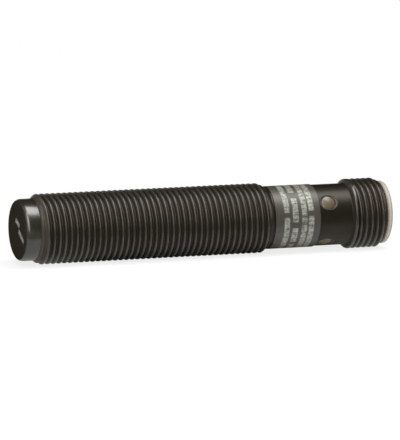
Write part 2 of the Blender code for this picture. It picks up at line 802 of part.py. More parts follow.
def make_board_parts(core):
    legged_part(
        "detector_chip",
        CHIP_SIZE,
        CHIP_STATION,
        CHIP_LEGS,
        CHIP_LEGS,
        CHIP_LEG_PITCH,
        core,
    )
    legged_part(
        "output_transistor",
        TRANSISTOR_SIZE,
        TRANSISTOR_STATION,
        2,
        1,
        TRANSISTOR_LEG_PITCH,
        core,
    )
    capped_part(
        "filter_capacitor",
        CAPACITOR_SIZE,
        CAPACITOR_END,
        CAPACITOR_STATION,
        CERAMIC_BROWN,
        core,
        below=True,
    )
    capped_part(
        "trim_resistor",
        RESISTOR_SIZE,
        RESISTOR_END,
        RESISTOR_STATION,
        CHIP_EPOXY,
        core,
        below=False,
    )
    make_diode(core)
    lamp_size = (LAMP_LENGTH, LAMP_WIDTH, LAMP_HEIGHT)
    lamp_height = BOARD_FACE + LAMP_HEIGHT / 2
    corners = ((1, 1), (-1, 1), (-1, -1), (1, -1))
    for index, (across, up) in enumerate(corners):
        centre = (WINDOW_STATION, across * LAMP_OFFSET, up * lamp_height)
        block(f"status_lamp_{index + 1}", lamp_size, centre, LAMP_RESIN, core)


def make_label():
    """A foil strip wrapped round the shank, whose two ends leave a narrow seam."""
    outer_radius = LABEL_INNER_RADIUS + LABEL_THICKNESS
    half_seam = LABEL_SEAM / (2 * outer_radius)
    angles = [LABEL_SEAM_ANGLE + half_seam]
    turn = 2 * math.pi / COLUMNS
    column = math.ceil((angles[0] - column_angle(0)) / turn)
    stop = LABEL_SEAM_ANGLE + 2 * math.pi - half_seam
    while column_angle(column) < stop:
        if column_angle(column) > angles[0] + turn / 20 and column_angle(column) < stop - turn / 20:
            angles.append(column_angle(column))
        column += 1
    angles.append(stop)
    bm = bmesh.new()
    section = (
        (LABEL_FRONT, LABEL_INNER_RADIUS),
        (LABEL_BACK, LABEL_INNER_RADIUS),
        (LABEL_BACK, outer_radius),
        (LABEL_FRONT, outer_radius),
    )
    loops = [
        [bm.verts.new((x, r * math.cos(angle), r * math.sin(angle))) for x, r in section]
        for angle in angles
    ]
    for one, other in zip(loops, loops[1:]):
        for corner in range(len(section)):
            after = (corner + 1) % len(section)
            bm.faces.new((one[corner], one[after], other[after], other[corner]))
    bm.faces.new(loops[0])
    bm.faces.new(loops[-1])
    finish(mesh_object("label", bm), SILVER_FOIL)


# Plug connector
INSERT_SEAL_STATION = (INSERT_FRONT + CUP_FLOOR_STATION) / 2 - SLIP


def contact_places():
    """The places of the contacts, two above the board and two below it."""
    for index in range(CONTACT_COUNT):
        angle = math.pi / 4 + index * 2 * math.pi / CONTACT_COUNT
        yield (
            index + 1,
            CONTACT_CIRCLE_RADIUS * math.cos(angle),
            CONTACT_CIRCLE_RADIUS * math.sin(angle),
        )


def make_connector_insert(core):
    """The moulded cup with its rim, floor, key rib and the lugs that grip the board."""
    rim_edge = arc(
        SENSOR_LENGTH - RIM_EDGE_RADIUS,
        RIM_RADIUS - RIM_EDGE_RADIUS,
        RIM_EDGE_RADIUS,
        math.pi / 2,
        0.0,
        3,
    )
    outline = [
        (INSERT_FRONT, 0.0),
        (INSERT_FRONT, SKIRT_RADIUS),
        *seal_groove(INSERT_SEAL_STATION),
        (RIM_START, SKIRT_RADIUS),
        (RIM_START, RIM_RADIUS),
        *rim_edge,
        (SENSOR_LENGTH, CUP_RADIUS + CUP_MOUTH_CHAMFER),
        (SENSOR_LENGTH - CUP_MOUTH_CHAMFER, CUP_RADIUS),
        (CUP_FLOOR_STATION, CUP_RADIUS),
        (CUP_FLOOR_STATION, 0.0),
    ]
    insert = turned("connector_insert", outline, CREAM_PLASTIC, core)

    root = (SKIRT_RADIUS - CUP_RADIUS) / 2
    key_size = (CUP_DEPTH - KEY_SETBACK + root, KEY_HEIGHT + root, KEY_WIDTH)
    key_centre = (
        CUP_FLOOR_STATION - root + key_size[0] / 2,
        CUP_RADIUS + root - key_size[1] / 2,
        0.0,
    )
    key = block("key_rib", key_size, key_centre, CREAM_PLASTIC, core)
    combine(insert, key, "UNION")

    lug_bite = CUP_FLOOR / 4
    lug_size = (LUG_LENGTH + lug_bite, LUG_WIDTH, LUG_HEIGHT)
    for side, name in ((1, "upper_lug"), (-1, "lower_lug")):
        lug_centre = (
            INSERT_FRONT + lug_bite - lug_size[0] / 2,
            0.0,
            side * (HALF_BOARD + SEAT + LUG_HEIGHT / 2),
        )
        lug = block(name, lug_size, lug_centre, CREAM_PLASTIC, core)
        combine(insert, lug, "UNION")

    hole = [
        (INSERT_FRONT - CUP_FLOOR, 0.0),
        (INSERT_FRONT - CUP_FLOOR, CONTACT_RADIUS + SLIP),
        (CUP_FLOOR_STATION + CUP_FLOOR, CONTACT_RADIUS + SLIP),
        (CUP_FLOOR_STATION + CUP_FLOOR, 0.0),
    ]
    for index, across, up in contact_places():
        cutter = turned(f"contact_cutter_{index}", hole, GOLD_PLATE, core, SMALL_SEGMENTS)
        cutter.location = (0.0, across, up)
        combine(insert, cutter, "DIFFERENCE")
    make_seal("insert_seal", INSERT_SEAL_STATION)


def make_contacts(core):
    """Turned contacts with rounded tips, and a wire from each tail down to the board."""
    tip = SENSOR_LENGTH - CONTACT_TIP_SETBACK
    tail_end = INSERT_FRONT - TAIL_LENGTH
    nose = CONTACT_RADIUS * 0.7
    rounded = arc(tip - nose, CONTACT_RADIUS - nose, nose, math.pi / 2, 0.0, 3)
    outline = [
        (tail_end, 0.0),
        (tail_end, TAIL_RADIUS),
        (INSERT_FRONT - SEAT, TAIL_RADIUS),
        (INSERT_FRONT - SEAT, CONTACT_RADIUS),
        *rounded,
        (tip, 0.0),
    ]
    foot = HALF_BOARD + WIRE_RADIUS + SLIP
    wire_start = tail_end - SLIP
    bend = wire_start - WIRE_DROP_LENGTH
    for index, across, up in contact_places():
        contact = turned(f"contact_pin_{index}", outline, GOLD_PLATE, core, SMALL_SEGMENTS)
        contact.location = (0.0, across, up)
        side = math.copysign(1, up)
        wire(
            f"lead_wire_{index}",
            [
                (wire_start, across, up),
                (wire_start - WIRE_DROP_LENGTH / 4, across, up),
                (bend, across, side * foot),
                (bend - WIRE_FOOT_LENGTH, across, side * foot),
            ],
            WIRE_RADIUS,
            WIRE_SLEEVE,
            core,
        )


def main():
    core = bpy.data.objects.new("inner_parts", None)
    core.rotation_euler = (INNER_ROLL, 0.0, 0.0)
    bpy.context.scene.collection.objects.link(core)
    make_barrel(core)
    make_front_cap()
    make_coil(core)
    make_core_holder(core)
    make_board(core)
    make_board_parts(core)
    make_windows(core)
    make_label()
    make_connector_insert(core)
    make_contacts(core)


main()
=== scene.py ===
# %% [markdown]
# An inductive proximity sensor: a black tube with a fine thread over most of its length, a plastic
# cap over the sensing coil, a silvery label, four lamp windows and a short plug thread at the rear.
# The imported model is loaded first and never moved. It gives the places, and this script builds
# finer surfaces over it. The axis is X, the sensing face is at 0, and the camera looks along +Y.

# %% Load the frame
import math

import bmesh
import bpy
from mathutils import Matrix, Vector


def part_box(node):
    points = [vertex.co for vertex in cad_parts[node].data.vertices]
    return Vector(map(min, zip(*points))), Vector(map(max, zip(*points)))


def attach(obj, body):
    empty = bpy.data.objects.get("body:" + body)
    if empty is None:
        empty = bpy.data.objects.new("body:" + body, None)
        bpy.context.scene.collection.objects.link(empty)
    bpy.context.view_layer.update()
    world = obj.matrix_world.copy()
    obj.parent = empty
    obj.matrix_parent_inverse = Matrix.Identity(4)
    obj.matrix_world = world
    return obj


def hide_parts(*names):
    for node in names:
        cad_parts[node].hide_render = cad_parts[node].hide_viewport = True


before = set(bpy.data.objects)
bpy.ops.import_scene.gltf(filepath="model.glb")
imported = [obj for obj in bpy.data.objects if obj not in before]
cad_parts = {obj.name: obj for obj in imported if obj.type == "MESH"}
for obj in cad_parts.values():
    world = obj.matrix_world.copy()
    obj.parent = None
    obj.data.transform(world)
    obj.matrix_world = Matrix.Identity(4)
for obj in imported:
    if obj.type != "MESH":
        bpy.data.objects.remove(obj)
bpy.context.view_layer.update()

# %% [markdown]
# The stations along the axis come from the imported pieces' boxes where they can. The radii and the
# thread's shape are sizes that no box tells.

# %% Places and sizes
MM = 0.001
THREAD_COLUMNS = 128
PITCH = 1.0 * MM
CREST_RADIUS = 5.94 * MM
THREAD_DEPTH = 0.55 * MM
CREST_WIDTH = 0.22 * MM
ROOT_WIDTH = 0.18 * MM
CREST_ROUND = 0.10 * MM
ROOT_ROUND = 0.07 * MM
SHANK_RADIUS = 5.22 * MM
BORE_RADIUS = 4.70 * MM
SEAT = 0.1 * MM
SLIP = 0.05 * MM
SKIRT_RADIUS = BORE_RADIUS - SEAT


def node_middle(name):
    """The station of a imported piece's middle."""
    return sum(corner.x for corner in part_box(name)) / 2


BARREL_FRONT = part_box("barrel")[0].x
BARREL_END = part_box("barrel")[1].x
THREAD_END = 44.10 * MM
SHANK_END = 58.45 * MM
LAND_START = SHANK_END + 0.37 * MM
PLUG_THREAD_START = 59.18 * MM
SENSOR_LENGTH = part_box("connector_insert")[1].x
LABEL_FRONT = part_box("label")[0].x
LABEL_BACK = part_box("label")[1].x
WINDOW_STATION = node_middle("lamp_window_2")
print("barrel from", round(BARREL_FRONT / MM, 3), "to", round(BARREL_END / MM, 3), "mm")

# %% [markdown]
# The camera stands where the photographer stood: 20 degrees round to the sensing face's side and
# 8 degrees up. A long lens far away keeps the tube's two sides almost parallel, as in the photo.
# The helper that puts it into the scene serves all objects to come.

# %% Camera
def new_object(name, data, place=Matrix.Identity(4)):
    """An object that stands in the scene, at a place."""
    made = bpy.data.objects.new(name, data)
    made.matrix_world = place
    bpy.context.scene.collection.objects.link(made)
    return made


AZIMUTH = math.radians(-20)
ELEVATION = math.radians(8.05)
DISTANCE = 0.93
FOCAL_LENGTH = 450
AIM = Vector((32.60 * MM, 0.0, 0.155 * MM))

away = Vector((
    math.sin(AZIMUTH) * math.cos(ELEVATION),
    -math.cos(AZIMUTH) * math.cos(ELEVATION),
    math.sin(ELEVATION),
))
camera = new_object("camera", bpy.data.cameras.new("camera"))
camera.data.lens = FOCAL_LENGTH
camera.location = AIM + away * DISTANCE
camera.rotation_euler = (-away).to_track_quat("-Z", "Y").to_euler()
bpy.context.scene.camera = camera
bpy.context.scene.view_settings.view_transform = "Standard"
print("camera at", tuple(round(value, 4) for value in camera.location))

# %% [markdown]
# A finish on real metal or plastic is a sum of small effects: grain, tool marks, wear. Each is a
# little arithmetic on the place of a point. This class lets that arithmetic be written as plain
# Python: an expression on signals adds the Math nodes that it stands for.

# %% Signals
class Signal:
    """One output of a shader node, in a tree. Operators on it add Math nodes."""

    def __init__(self, tree, output=None):
        self.tree = tree
        self.output = output

    def plug(self, socket, value):
        if isinstance(value, Signal):
            self.tree.links.new(value.output, socket)
        else:
            socket.default_value = value

    def node(self, kind, inputs=(), give=0, **settings):
        """Add a node: first its settings, then its sockets, from values or from signals."""
        made = self.tree.nodes.new(kind)
        for name, value in settings.items():
            setattr(made, name, value)
        for key, value in dict(inputs).items():
            self.plug(made.inputs[key], value)
        return Signal(self.tree, made.outputs[give]) if made.outputs else None

    def other(self, name):
        """Another output of the same node."""
        return Signal(self.tree, self.output.node.outputs[name])

    def math(self, operation, *terms):
        return self.node("ShaderNodeMath", enumerate(terms), operation=operation)

    def vector(self, operation, *terms, give="Vector"):
        """A Vector Math node on this signal and the terms."""
        inputs = enumerate((self, *terms))
        return self.node("ShaderNodeVectorMath", inputs, give, operation=operation)

    def __add__(self, term):
        return self.math("ADD", self, term)

    def __sub__(self, term):
        return self.math("SUBTRACT", self, term)

    def __rsub__(self, term):
        return self.math("SUBTRACT", term, self)

    def __mul__(self, term):
        return self.math("MULTIPLY", self, term)

    def __lt__(self, term):
        return self.math("LESS_THAN", self, term)

    __radd__ = __add__
    __rmul__ = __mul__


print("signals are ready")

# %% [markdown]
# Some nodes come up again and again, so they get short names: a smooth step between two values, a
# mix of two colours, a stretched vector and grain. Noise is sampled in millimetres, so a scale of
# 10 means ten grains to a millimetre.

# %% Pattern helpers
def step_between(value, low, high):
    """0 below low and 1 above high, with a smooth rise."""
    inputs = {"Value": value, "From Min": low, "From Max": high}
    return value.node("ShaderNodeMapRange", inputs, interpolation_type="SMOOTHSTEP")


def inside(value, low, high, edge):
    """1 between low and high, with soft edges."""
    risen = step_between(value, low - edge, low + edge)
    return risen - step_between(value, high - edge, high + edge)


def mix_colour(amount, one, other):
    """A Mix node on colours. A colour is three numbers or a signal."""
    colours = [c if isinstance(c, Signal) else (*c, 1.0) for c in (one, other)]
    inputs = {0: amount, 6: colours[0], 7: colours[1]}
    return amount.node("ShaderNodeMix", inputs, give=2, data_type="RGBA")


def stretched(place, factors):
    return place.vector("MULTIPLY", factors)


def grain(place, scale, detail=2.0):
    inputs = {"Vector": place, "Scale": scale, "Detail": detail}
    return place.node("ShaderNodeTexNoise", inputs)


def axis_parts(place):
    """The station along the axis, Y, Z and the distance from the axis, in mm."""
    station = place.node("ShaderNodeSeparateXYZ", {"Vector": place})
    across, up = station.other("Y"), station.other("Z")
    return station, across, up, place.math("SQRT", across * across + up * up)


def bump(height, depth_mm):
    """A normal from a height between 0 and 1 that stands for depth_mm."""
    inputs = {"Height": height, "Distance": depth_mm * MM}
    return height.node("ShaderNodeBump", inputs)


def new_finish(name):
    """A material, and the place of a point on it in mm."""
    made = bpy.data.materials.new(name)
    made.use_nodes = True
    start = Signal(made.node_tree)
    place = start.node("ShaderNodeTexCoord", give="Object")
    inputs = {0: place, "Scale": 1 / MM}
    return made, start.node("ShaderNodeVectorMath", inputs, operation="SCALE")


def set_finish(material, sockets):
    """Feed the shader's sockets, from values or from signals."""
    shader = material.node_tree.nodes["Principled BSDF"]
    for name, value in sockets.items():
        Signal(material.node_tree).plug(shader.inputs[name], value)
    print("finish", material.name, "with", len(material.node_tree.nodes), "nodes")
    return material


print("pattern helpers are ready")

# %% [markdown]
# The photo was taken on white and cut out. A white world does that here: what the camera sees past
# the object, and what metal and plastic mirror of it, is plain white at strength 1. Light that
# falls on the object is a dimmer, even grey, so that the lamps above give the form.

# %% World
AMBIENT = 0.28
WHITE = (1.0, 1.0, 1.0, 1.0)


def seen_directly(tree, in_gloss=1.0):
    """1 for rays from the camera, and in_gloss for rays that gloss or glass sends on."""
    path = Signal(tree).node("ShaderNodeLightPath", give="Is Camera Ray")
    sent_on = path.math("MAXIMUM", path.other("Is Glossy Ray"), path.other("Is Transmission Ray"))
    return path.math("MAXIMUM", path, sent_on * in_gloss)


world = bpy.data.worlds.new("studio")
world.use_nodes = True
bpy.context.scene.world = world
world.node_tree.nodes.clear()
seen = seen_directly(world.node_tree)
ambient = seen.node("ShaderNodeBackground", {"Color": WHITE, "Strength": AMBIENT})
backdrop = seen.node("ShaderNodeBackground", {"Color": WHITE, "Strength": 1.0})
sky = seen.node("ShaderNodeMixShader", {0: seen, 1: ambient, 2: backdrop})
seen.node("ShaderNodeOutputWorld", {"Surface": sky})
print("world: ambient", AMBIENT)

# %% [markdown]
# The floor is a plain white sheet just under the tube. Seen directly it is mostly white light of
# its own, like the backdrop, with enough real paper in the mix to keep a soft shadow. A real tube
# shades the paper right under it, so there gloss sees only the paper and not its own light. How
# near a point lies is a stretched distance: 1 is 33 mm along the tube, or 5 mm beside it.

# %% Floor
FLOOR_SIZE = 6.0
FLOOR_LIGHT_SHARE = 0.8
FADE_START, FADE_END = 0.06, 0.45
TUBE_MIDDLE = (33 * MM, 0.0, 0.0)
NEARNESS_STRETCH = (30.0, 200.0, 0.0)
SHADE_END, GLOW_START = 0.6, 1.15


def flat_sheet(name, length, width, height=0.0):
    mesh = bpy.data.meshes.new(name)
    corners = ((-1, -1), (1, -1), (1, 1), (-1, 1))
    points = [(x * length / 2, y * width / 2, height) for x, y in corners]
    mesh.from_pydata(points, [], [(0, 1, 2, 3)])
    return mesh


floor_mesh = flat_sheet("floor", FLOOR_SIZE, FLOOR_SIZE, -CREST_RADIUS)
floor = new_object("floor", floor_mesh)

paper = bpy.data.materials.new("white_paper")
paper.use_nodes = True
paper.node_tree.nodes.clear()
spot = Signal(paper.node_tree).node("ShaderNodeTexCoord", give="Object")
fade = step_between(spot.vector("LENGTH", give="Value"), FADE_START, FADE_END)
from_tube = stretched(spot.vector("SUBTRACT", TUBE_MIDDLE), NEARNESS_STRETCH)
nearness = from_tube.vector("LENGTH", give="Value")
share = seen_directly(paper.node_tree, step_between(nearness, SHADE_END, GLOW_START))
share = share * (FLOOR_LIGHT_SHARE + fade * (1 - FLOOR_LIGHT_SHARE))
matte = share.node("ShaderNodeBsdfDiffuse", {"Color": (0.9, 0.9, 0.9, 1.0)})
lit = share.node("ShaderNodeEmission", {"Color": WHITE, "Strength": 1.0})
both = share.node("ShaderNodeMixShader", {0: share, 1: matte, 2: lit})
share.node("ShaderNodeOutputMaterial", {"Surface": both})
floor_mesh.materials.append(paper)
print("floor at", -CREST_RADIUS / MM, "mm")

# %% [markdown]
# The photo's highlights lie on the upper third of the tube, which means that the main lamp was a
# softbox nearly overhead. Its angle follows from the mirror rule: the surface there leans about
# 43 degrees up, the camera looks from 8 degrees, so the light comes from about 80 degrees. A tall
# softbox on the left draws the light line down the cap's edge. A small lamp past the plug end
# reaches into the cup in views from the rear. Gloss doesn't see that one.

# %% Lamps
SUBJECT = Vector((32.0 * MM, 0.0, 0.0))


def facing_tube(lean, along, distance):
    """A place that looks at the tube. The lean is 0 degrees in front and 90 straight above."""
    lean = math.radians(lean)
    toward = Vector((along, -math.cos(lean) * distance, math.sin(lean) * distance))
    ahead = toward.normalized()
    across = (Vector((1.0, 0.0, 0.0)) - ahead * ahead.x).normalized()
    turned = Matrix((across, ahead.cross(across), ahead)).transposed().to_4x4()
    return Matrix.Translation(SUBJECT + toward) @ turned


def softbox(name, place, length, width, radiance, in_gloss):
    lamp = bpy.data.lights.new(name, "AREA")
    lamp.shape = "RECTANGLE"
    lamp.size, lamp.size_y = length, width
    lamp.energy = radiance * math.pi * length * width
    new_object(name, lamp, place).visible_glossy = in_gloss
    print(name, "takes", round(lamp.energy, 1), "watts")


LAMPS = {  # place, length, width, radiance and whether gloss sees it
    "overhead_softbox": (facing_tube(83, 0.2, 1.0), 0.6, 0.64, 6.6, True),
    "left_softbox": (facing_tube(42, -0.28, 0.8), 0.3, 1.1, 4.9, True),
    "cup_softbox": (facing_tube(60, 1.0, 0.25), 0.3, 0.3, 8.0, False),
}
for lamp_name, lamp_values in LAMPS.items():
    softbox(lamp_name, *lamp_values)

# %% [markdown]
# A glossy black tube shows what stands round it. The photographer's side of the room was dark, and
# so was the space behind the softbox, so two black flags stand there. A dim one lies on the table
# in front, and two bright cards by the softboxes widen what the gloss shows of them. Nothing but
# gloss sees the flags and cards: they give the object no light and take none away.

# %% Flags and cards
CLOTH_BLACK = (0.004, 0.004, 0.004, 1.0)
TABLE_TONE = (1.0, 0.90, 0.70, 1.0)
WARM_WHITE = (1.0, 0.95, 0.82, 1.0)


def card_cloth(name, glow, tone=WHITE):
    """Black cloth, with a glow of its own where it is a bright card."""
    cloth = bpy.data.materials.new(name)
    cloth.use_nodes = True
    return set_finish(cloth, {
        "Base Color": CLOTH_BLACK,
        "Specular IOR Level": 0.0,
        "Emission Color": tone,
        "Emission Strength": glow,
    })


def hang_card(name, place, length, width, cloth):
    mesh = flat_sheet(name, length, width)
    mesh.materials.append(cloth)
    card = new_object(name, mesh, place)
    card.visible_camera = card.visible_diffuse = False
    card.visible_shadow = card.visible_transmission = False
    print(name, "stands at", tuple(round(value, 2) for value in place.translation))


black_cloth = card_cloth("black_cloth", 0.0)
grey_cloth = card_cloth("grey_cloth", 0.34, TABLE_TONE)
bright_silk = card_cloth("bright_silk", 2.5)
dim_silk = card_cloth("dim_silk", 2.8, WARM_WHITE)
on_table = Matrix.Translation((0.3, -0.364, -CREST_RADIUS + SLIP))
CARDS = {  # place, length, width and cloth
    "front_flag": (facing_tube(26, 0.4, 0.6), 0.9, 0.64, black_cloth),
    "rear_flag": (facing_tube(136, 0.2, 0.6), 1.6, 0.86, black_cloth),
    "table_flag": (on_table, 0.8, 0.7, grey_cloth),
    "overhead_card": (facing_tube(83, 0.2, 1.03), 0.6, 0.64, bright_silk),
    "left_card": (facing_tube(45, -0.40, 0.9), 0.75, 0.5, dim_silk),
}
for card_name, card_values in CARDS.items():
    hang_card(card_name, *card_values)

# %% [markdown]
# A mesh is points and faces. Every piece gets its faces turned outward and is shaded smooth, while
# edges sharper than a set angle stay crisp.

# %% Dressing a mesh
SHARP_ANGLE = math.radians(38)


def dress(made, material):
    """Face the mesh outward, shade it smooth with its edges kept, and give it its material."""
    sheet = bmesh.new()
    sheet.from_mesh(made.data)
    bmesh.ops.recalc_face_normals(sheet, faces=sheet.faces[:])
    sheet.to_mesh(made.data)
    sheet.free()
    made.data.shade_smooth()
    made.data.set_sharp_from_angle(angle=SHARP_ANGLE)
    made.data.materials.clear()
    made.data.materials.append(material)
    print(made.name, "has", len(made.data.polygons), "faces")
    return made


print("edges over", round(math.degrees(SHARP_ANGLE)), "degrees stay crisp")

# %% [markdown]
# Every round piece is a set of rings of points along the axis. This collector keeps the points and
# the faces between them. A lathe turns an outline into such rings, as on the real machine. The
# Screw modifier could do that too, but the threads have to join the very same rings.

# %% Rings and outlines
class Shell:
    """The points and faces of one mesh, made of rings round the X axis."""

    def __init__(self, columns):
        self.columns = columns
        self.points = []
        self.faces = []

    def point(self, station, radius, angle):
        self.points.append((station, radius * math.cos(angle), radius * math.sin(angle)))
        return len(self.points) - 1

    def angle(self, column):
        return 2 * math.pi * column / self.columns

    def ring(self, station, radius):
        return [self.point(station, radius, self.angle(column)) for column in range(self.columns)]

    def face(self, corners):
        """A face on the corners that differ, and none where they fall together."""
        kept = list(dict.fromkeys(corners))
        if len(kept) > 2:
            self.faces.append(kept)

    def join(self, *rings):
        """Faces from each ring to the next."""
        for one, other in zip(rings, rings[1:]):
            for column in range(self.columns):
                after = (column + 1) % self.columns
                self.face((one[column], one[after], other[after], other[column]))

    def lathe(self, outline):
        """Rings through an outline of (station, radius) points. A radius of 0 is a pole."""
        rings = [
            self.ring(*point) if point[1] > 0 else [self.point(*point, 0.0)] * self.columns
            for point in outline
        ]
        self.join(*rings)
        if outline[0][1] > 0 and outline[-1][1] > 0:
            self.join(rings[-1], rings[0])
        return self

    def make(self, name, material, place=Matrix.Identity(4)):
        mesh = bpy.data.meshes.new(name)
        mesh.from_pydata(self.points, [], self.faces)
        return dress(new_object(name, mesh, place), material)


def rounded(before, corner, after, size, steps):
    """Points that round a corner of an outline, from size before it to size after it."""
    here, back, ahead = Vector(corner), Vector(before), Vector(after)
    start = here + (back - here).normalized() * size
    end = here + (ahead - here).normalized() * size
    points = []
    for step in range(steps + 1):
        t = step / steps
        points.append(tuple(start * (1 - t) ** 2 + here * 2 * t * (1 - t) + end * t**2))
    return points


print("rings and outlines are ready")

# %% [markdown]
# Holes are cut with Booleans. The cut takes over the cutters' own material, so that the edges
# where old and new faces meet can be found and kept crisp. Then the mark goes.

# %% Cuts, and the place of a piece
CUT_MARK = bpy.data.materials.new("cut_mark")


def apply_booleans(target, tools, operation):
    """Cut the tools from the target, or join them to it, and remove them."""
    for tool in tools:
        change = target.modifiers.new(tool.name, "BOOLEAN")
        change.operation = operation
        change.solver = "EXACT"
        change.material_mode = "TRANSFER"
        change.object = tool
    graph = bpy.context.evaluated_depsgraph_get()
    finished = bpy.data.meshes.new_from_object(target.evaluated_get(graph))
    target.modifiers.clear()
    target.data = finished
    for tool in tools:
        bpy.data.objects.remove(tool)
    return target


def crisp_cuts(piece, material):
    """Keep the edges crisp where a cut meets the old surface."""
    sheet = bmesh.new()
    sheet.from_mesh(piece.data)
    rims = [
        edge.index
        for edge in sheet.edges
        if len({face.material_index for face in edge.link_faces}) > 1
    ]
    for face in sheet.faces:
        face.material_index = 0
    sheet.to_mesh(piece.data)
    sheet.free()
    dress(piece, material)
    for index in rims:
        piece.data.edges[index].use_edge_sharp = True
    print(piece.name, "has", len(rims), "crisp edges round its cuts")
    return piece


def place_piece(piece, slot, *nodes):
    """The piece rides on the one body and stands for these nodes of the solid model."""
    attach(piece, "root")
    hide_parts(*nodes)


print("cuts are marked with", CUT_MARK.name)

# %% [markdown]
# The tube's black coating is satin, not glossy. In the photo the crests of the thread catch a soft
# grey light and the grooves stay nearly black. Colour and sheen depend on the distance from the
# axis: brighter and smoother out on the crests. The brighter colour there is partly wear from
# handling and partly a painted sheen. The front chamfer is paler too, and the countersinks round
# the windows get the same pale tone as a painted highlight. A painted map would have to trace
# every crest. Lengths inside a finish are in millimetres.

# %% Finish: coated metal
SHANK_TONES = ((0.0048, 0.0042, 0.0024), (0.0086, 0.0074, 0.0045))
THREAD_TONES = ((0.0092, 0.0076, 0.0047), (0.0152, 0.0125, 0.0078))
WORN_SHEEN_TONE = (0.033, 0.027, 0.019)
PALE_CHAMFER_TONE = (0.062, 0.054, 0.042)
SATIN = 0.34
LEAD_IN_LENGTH = 0.9
SINK_INNER_RADIUS = 4.9


def coated_metal():
    made, place = new_finish("black_coated_metal")
    station, _, _, radius = axis_parts(place)
    root, crest = (CREST_RADIUS - THREAD_DEPTH) / MM, CREST_RADIUS / MM
    on_crest = step_between(radius, root + 0.25, crest - 0.02)
    blotches = grain(place, 0.55, 3.0)
    speckle = grain(place, 14.0)
    turning = grain(stretched(place, (22.0, 0.35, 0.35)), 1.0, 1.0)
    # partly wear, partly painted sheen: the crests get a lighter colour
    wear_and_sheen = on_crest * step_between(blotches, 0.35, 0.7) * 0.7
    threaded = step_between(radius, SHANK_RADIUS / MM + 0.03, root)
    plain = mix_colour(blotches, *SHANK_TONES)
    cut = mix_colour(blotches, *THREAD_TONES)
    with_wear_and_sheen = mix_colour(wear_and_sheen, mix_colour(threaded, plain, cut), WORN_SHEEN_TONE)
    front = BARREL_FRONT / MM
    # paler over the front chamfer
    lead_in = inside(station, front - 0.2, front + LEAD_IN_LENGTH, 0.2)
    # painted highlight: the countersinks round the windows are paler
    painted_sink_highlight = inside(radius, SINK_INNER_RADIUS, SHANK_RADIUS / MM - 0.04, 0.03)
    pale_chamfers = lead_in.math("MAXIMUM", lead_in * 0.55, painted_sink_highlight)
    relief = turning * 0.6 + speckle * 0.4
    return set_finish(made, {
        "Base Color": mix_colour(pale_chamfers, with_wear_and_sheen, PALE_CHAMFER_TONE),
        "Roughness": SATIN - wear_and_sheen * 0.05 + speckle * 0.08,
        "Specular IOR Level": 0.28,
        "Specular Tint": (1.0, 0.90, 0.76, 1.0),
        "Coat Weight": on_crest * 0.7,
        "Coat Roughness": 0.29,
        "Normal": bump(relief, 0.006),
    })


METAL = coated_metal()

# %% [markdown]
# The thread is right-hand, one millimetre to a turn. Its profile, over one pitch, has a narrow
# crest and a narrow root with sloping flanks between them. The corners are rounded: a tool leaves
# no knife edge, and the rounding is what catches the light.

# %% Thread profile
FRONT_CHAMFER = 0.9 * MM
REAR_CHAMFER = 1.15 * MM
FIRST_CREST = 1.16 * MM
PLUG_FIRST_CREST = 0.57 * MM
PLUG_CHAMFER = 0.8 * MM
PLUG_END_RADIUS = 5.38 * MM
RUNOUT = 0.15 * MM
SHORTEST_STEP = PITCH / 40


def thread_profile():
    """One pitch of the thread, from crest to crest, as (offset, radius) with rounded corners."""
    root_radius = CREST_RADIUS - THREAD_DEPTH
    corners = [
        (-CREST_WIDTH / 2, CREST_RADIUS),
        (CREST_WIDTH / 2, CREST_RADIUS),
        (PITCH / 2 - ROOT_WIDTH / 2, root_radius),
        (PITCH / 2 + ROOT_WIDTH / 2, root_radius),
    ]
    last, first = corners[-1], corners[0]
    around = [(last[0] - PITCH, last[1]), *corners, (first[0] + PITCH, first[1])]
    made = []
    for before, corner, after in zip(around, around[1:], around[2:]):
        size, steps = (CREST_ROUND, 3) if corner[1] == CREST_RADIUS else (ROOT_ROUND, 1)
        made.extend(rounded(before, corner, after, size, steps))
    return made


print("one pitch of the thread has", len(thread_profile()), "points")

# %% [markdown]
# The thread is one grid of points: its columns run along the tube, and its rows follow the helix,
# so that the end of a row joins the row one turn on. A profile wound by a modifier would end
# square. Here a row that would pass the end of its section stays on the end ring, which makes the
# thread fade into the chamfer as a cut thread does.

# %% Thread rows
def held(radius, station, limits):
    """Keep a thread point under the chamfers and above the run-out."""
    for limit_station, limit_radius, slope, how in limits:
        radius = how(radius, limit_radius + slope * (station - limit_station))
    return radius


def helix_row(shell, offset, radius, ends, first_crest, turn, limits):
    """One row of points. Its last point is left out, because the row one turn on begins there."""
    (front, front_ring), (back, back_ring) = ends
    row = []
    for column in range(shell.columns + 1):
        angle = shell.angle(column)
        station = first_crest + (turn + angle / (2 * math.pi) - 0.5) * PITCH + offset
        if station < front + SHORTEST_STEP:
            row.append(front_ring[column % shell.columns])
        elif station > back - SHORTEST_STEP:
            row.append(back_ring[column % shell.columns])
        elif column < shell.columns:
            row.append(shell.point(station, held(radius, station, limits), angle))
        else:
            row.append(None)
    return row


def cut_thread(shell, ends, first_crest, limits):
    """Fill the space between two rings with thread."""
    profile = thread_profile()
    front, back = ends[0][0], ends[1][0]
    first_turn = math.floor((front - first_crest) / PITCH) - 1
    last_turn = math.ceil((back - first_crest) / PITCH) + 2
    rows = [
        helix_row(shell, offset, radius, ends, first_crest, turn, limits)
        for turn in range(first_turn, last_turn)
        for offset, radius in profile
    ]
    per_turn = len(profile)
    for index, (row, following) in enumerate(zip(rows, rows[1:])):
        for column in range(shell.columns):
            ahead = [row[column + 1], following[column + 1]]
            for place, point in enumerate(ahead):
                if point is None:
                    ahead[place] = rows[index + place + per_turn][0]
            shell.face((row[column], following[column], ahead[1], ahead[0]))


print("thread rows have", THREAD_COLUMNS, "columns to a turn")

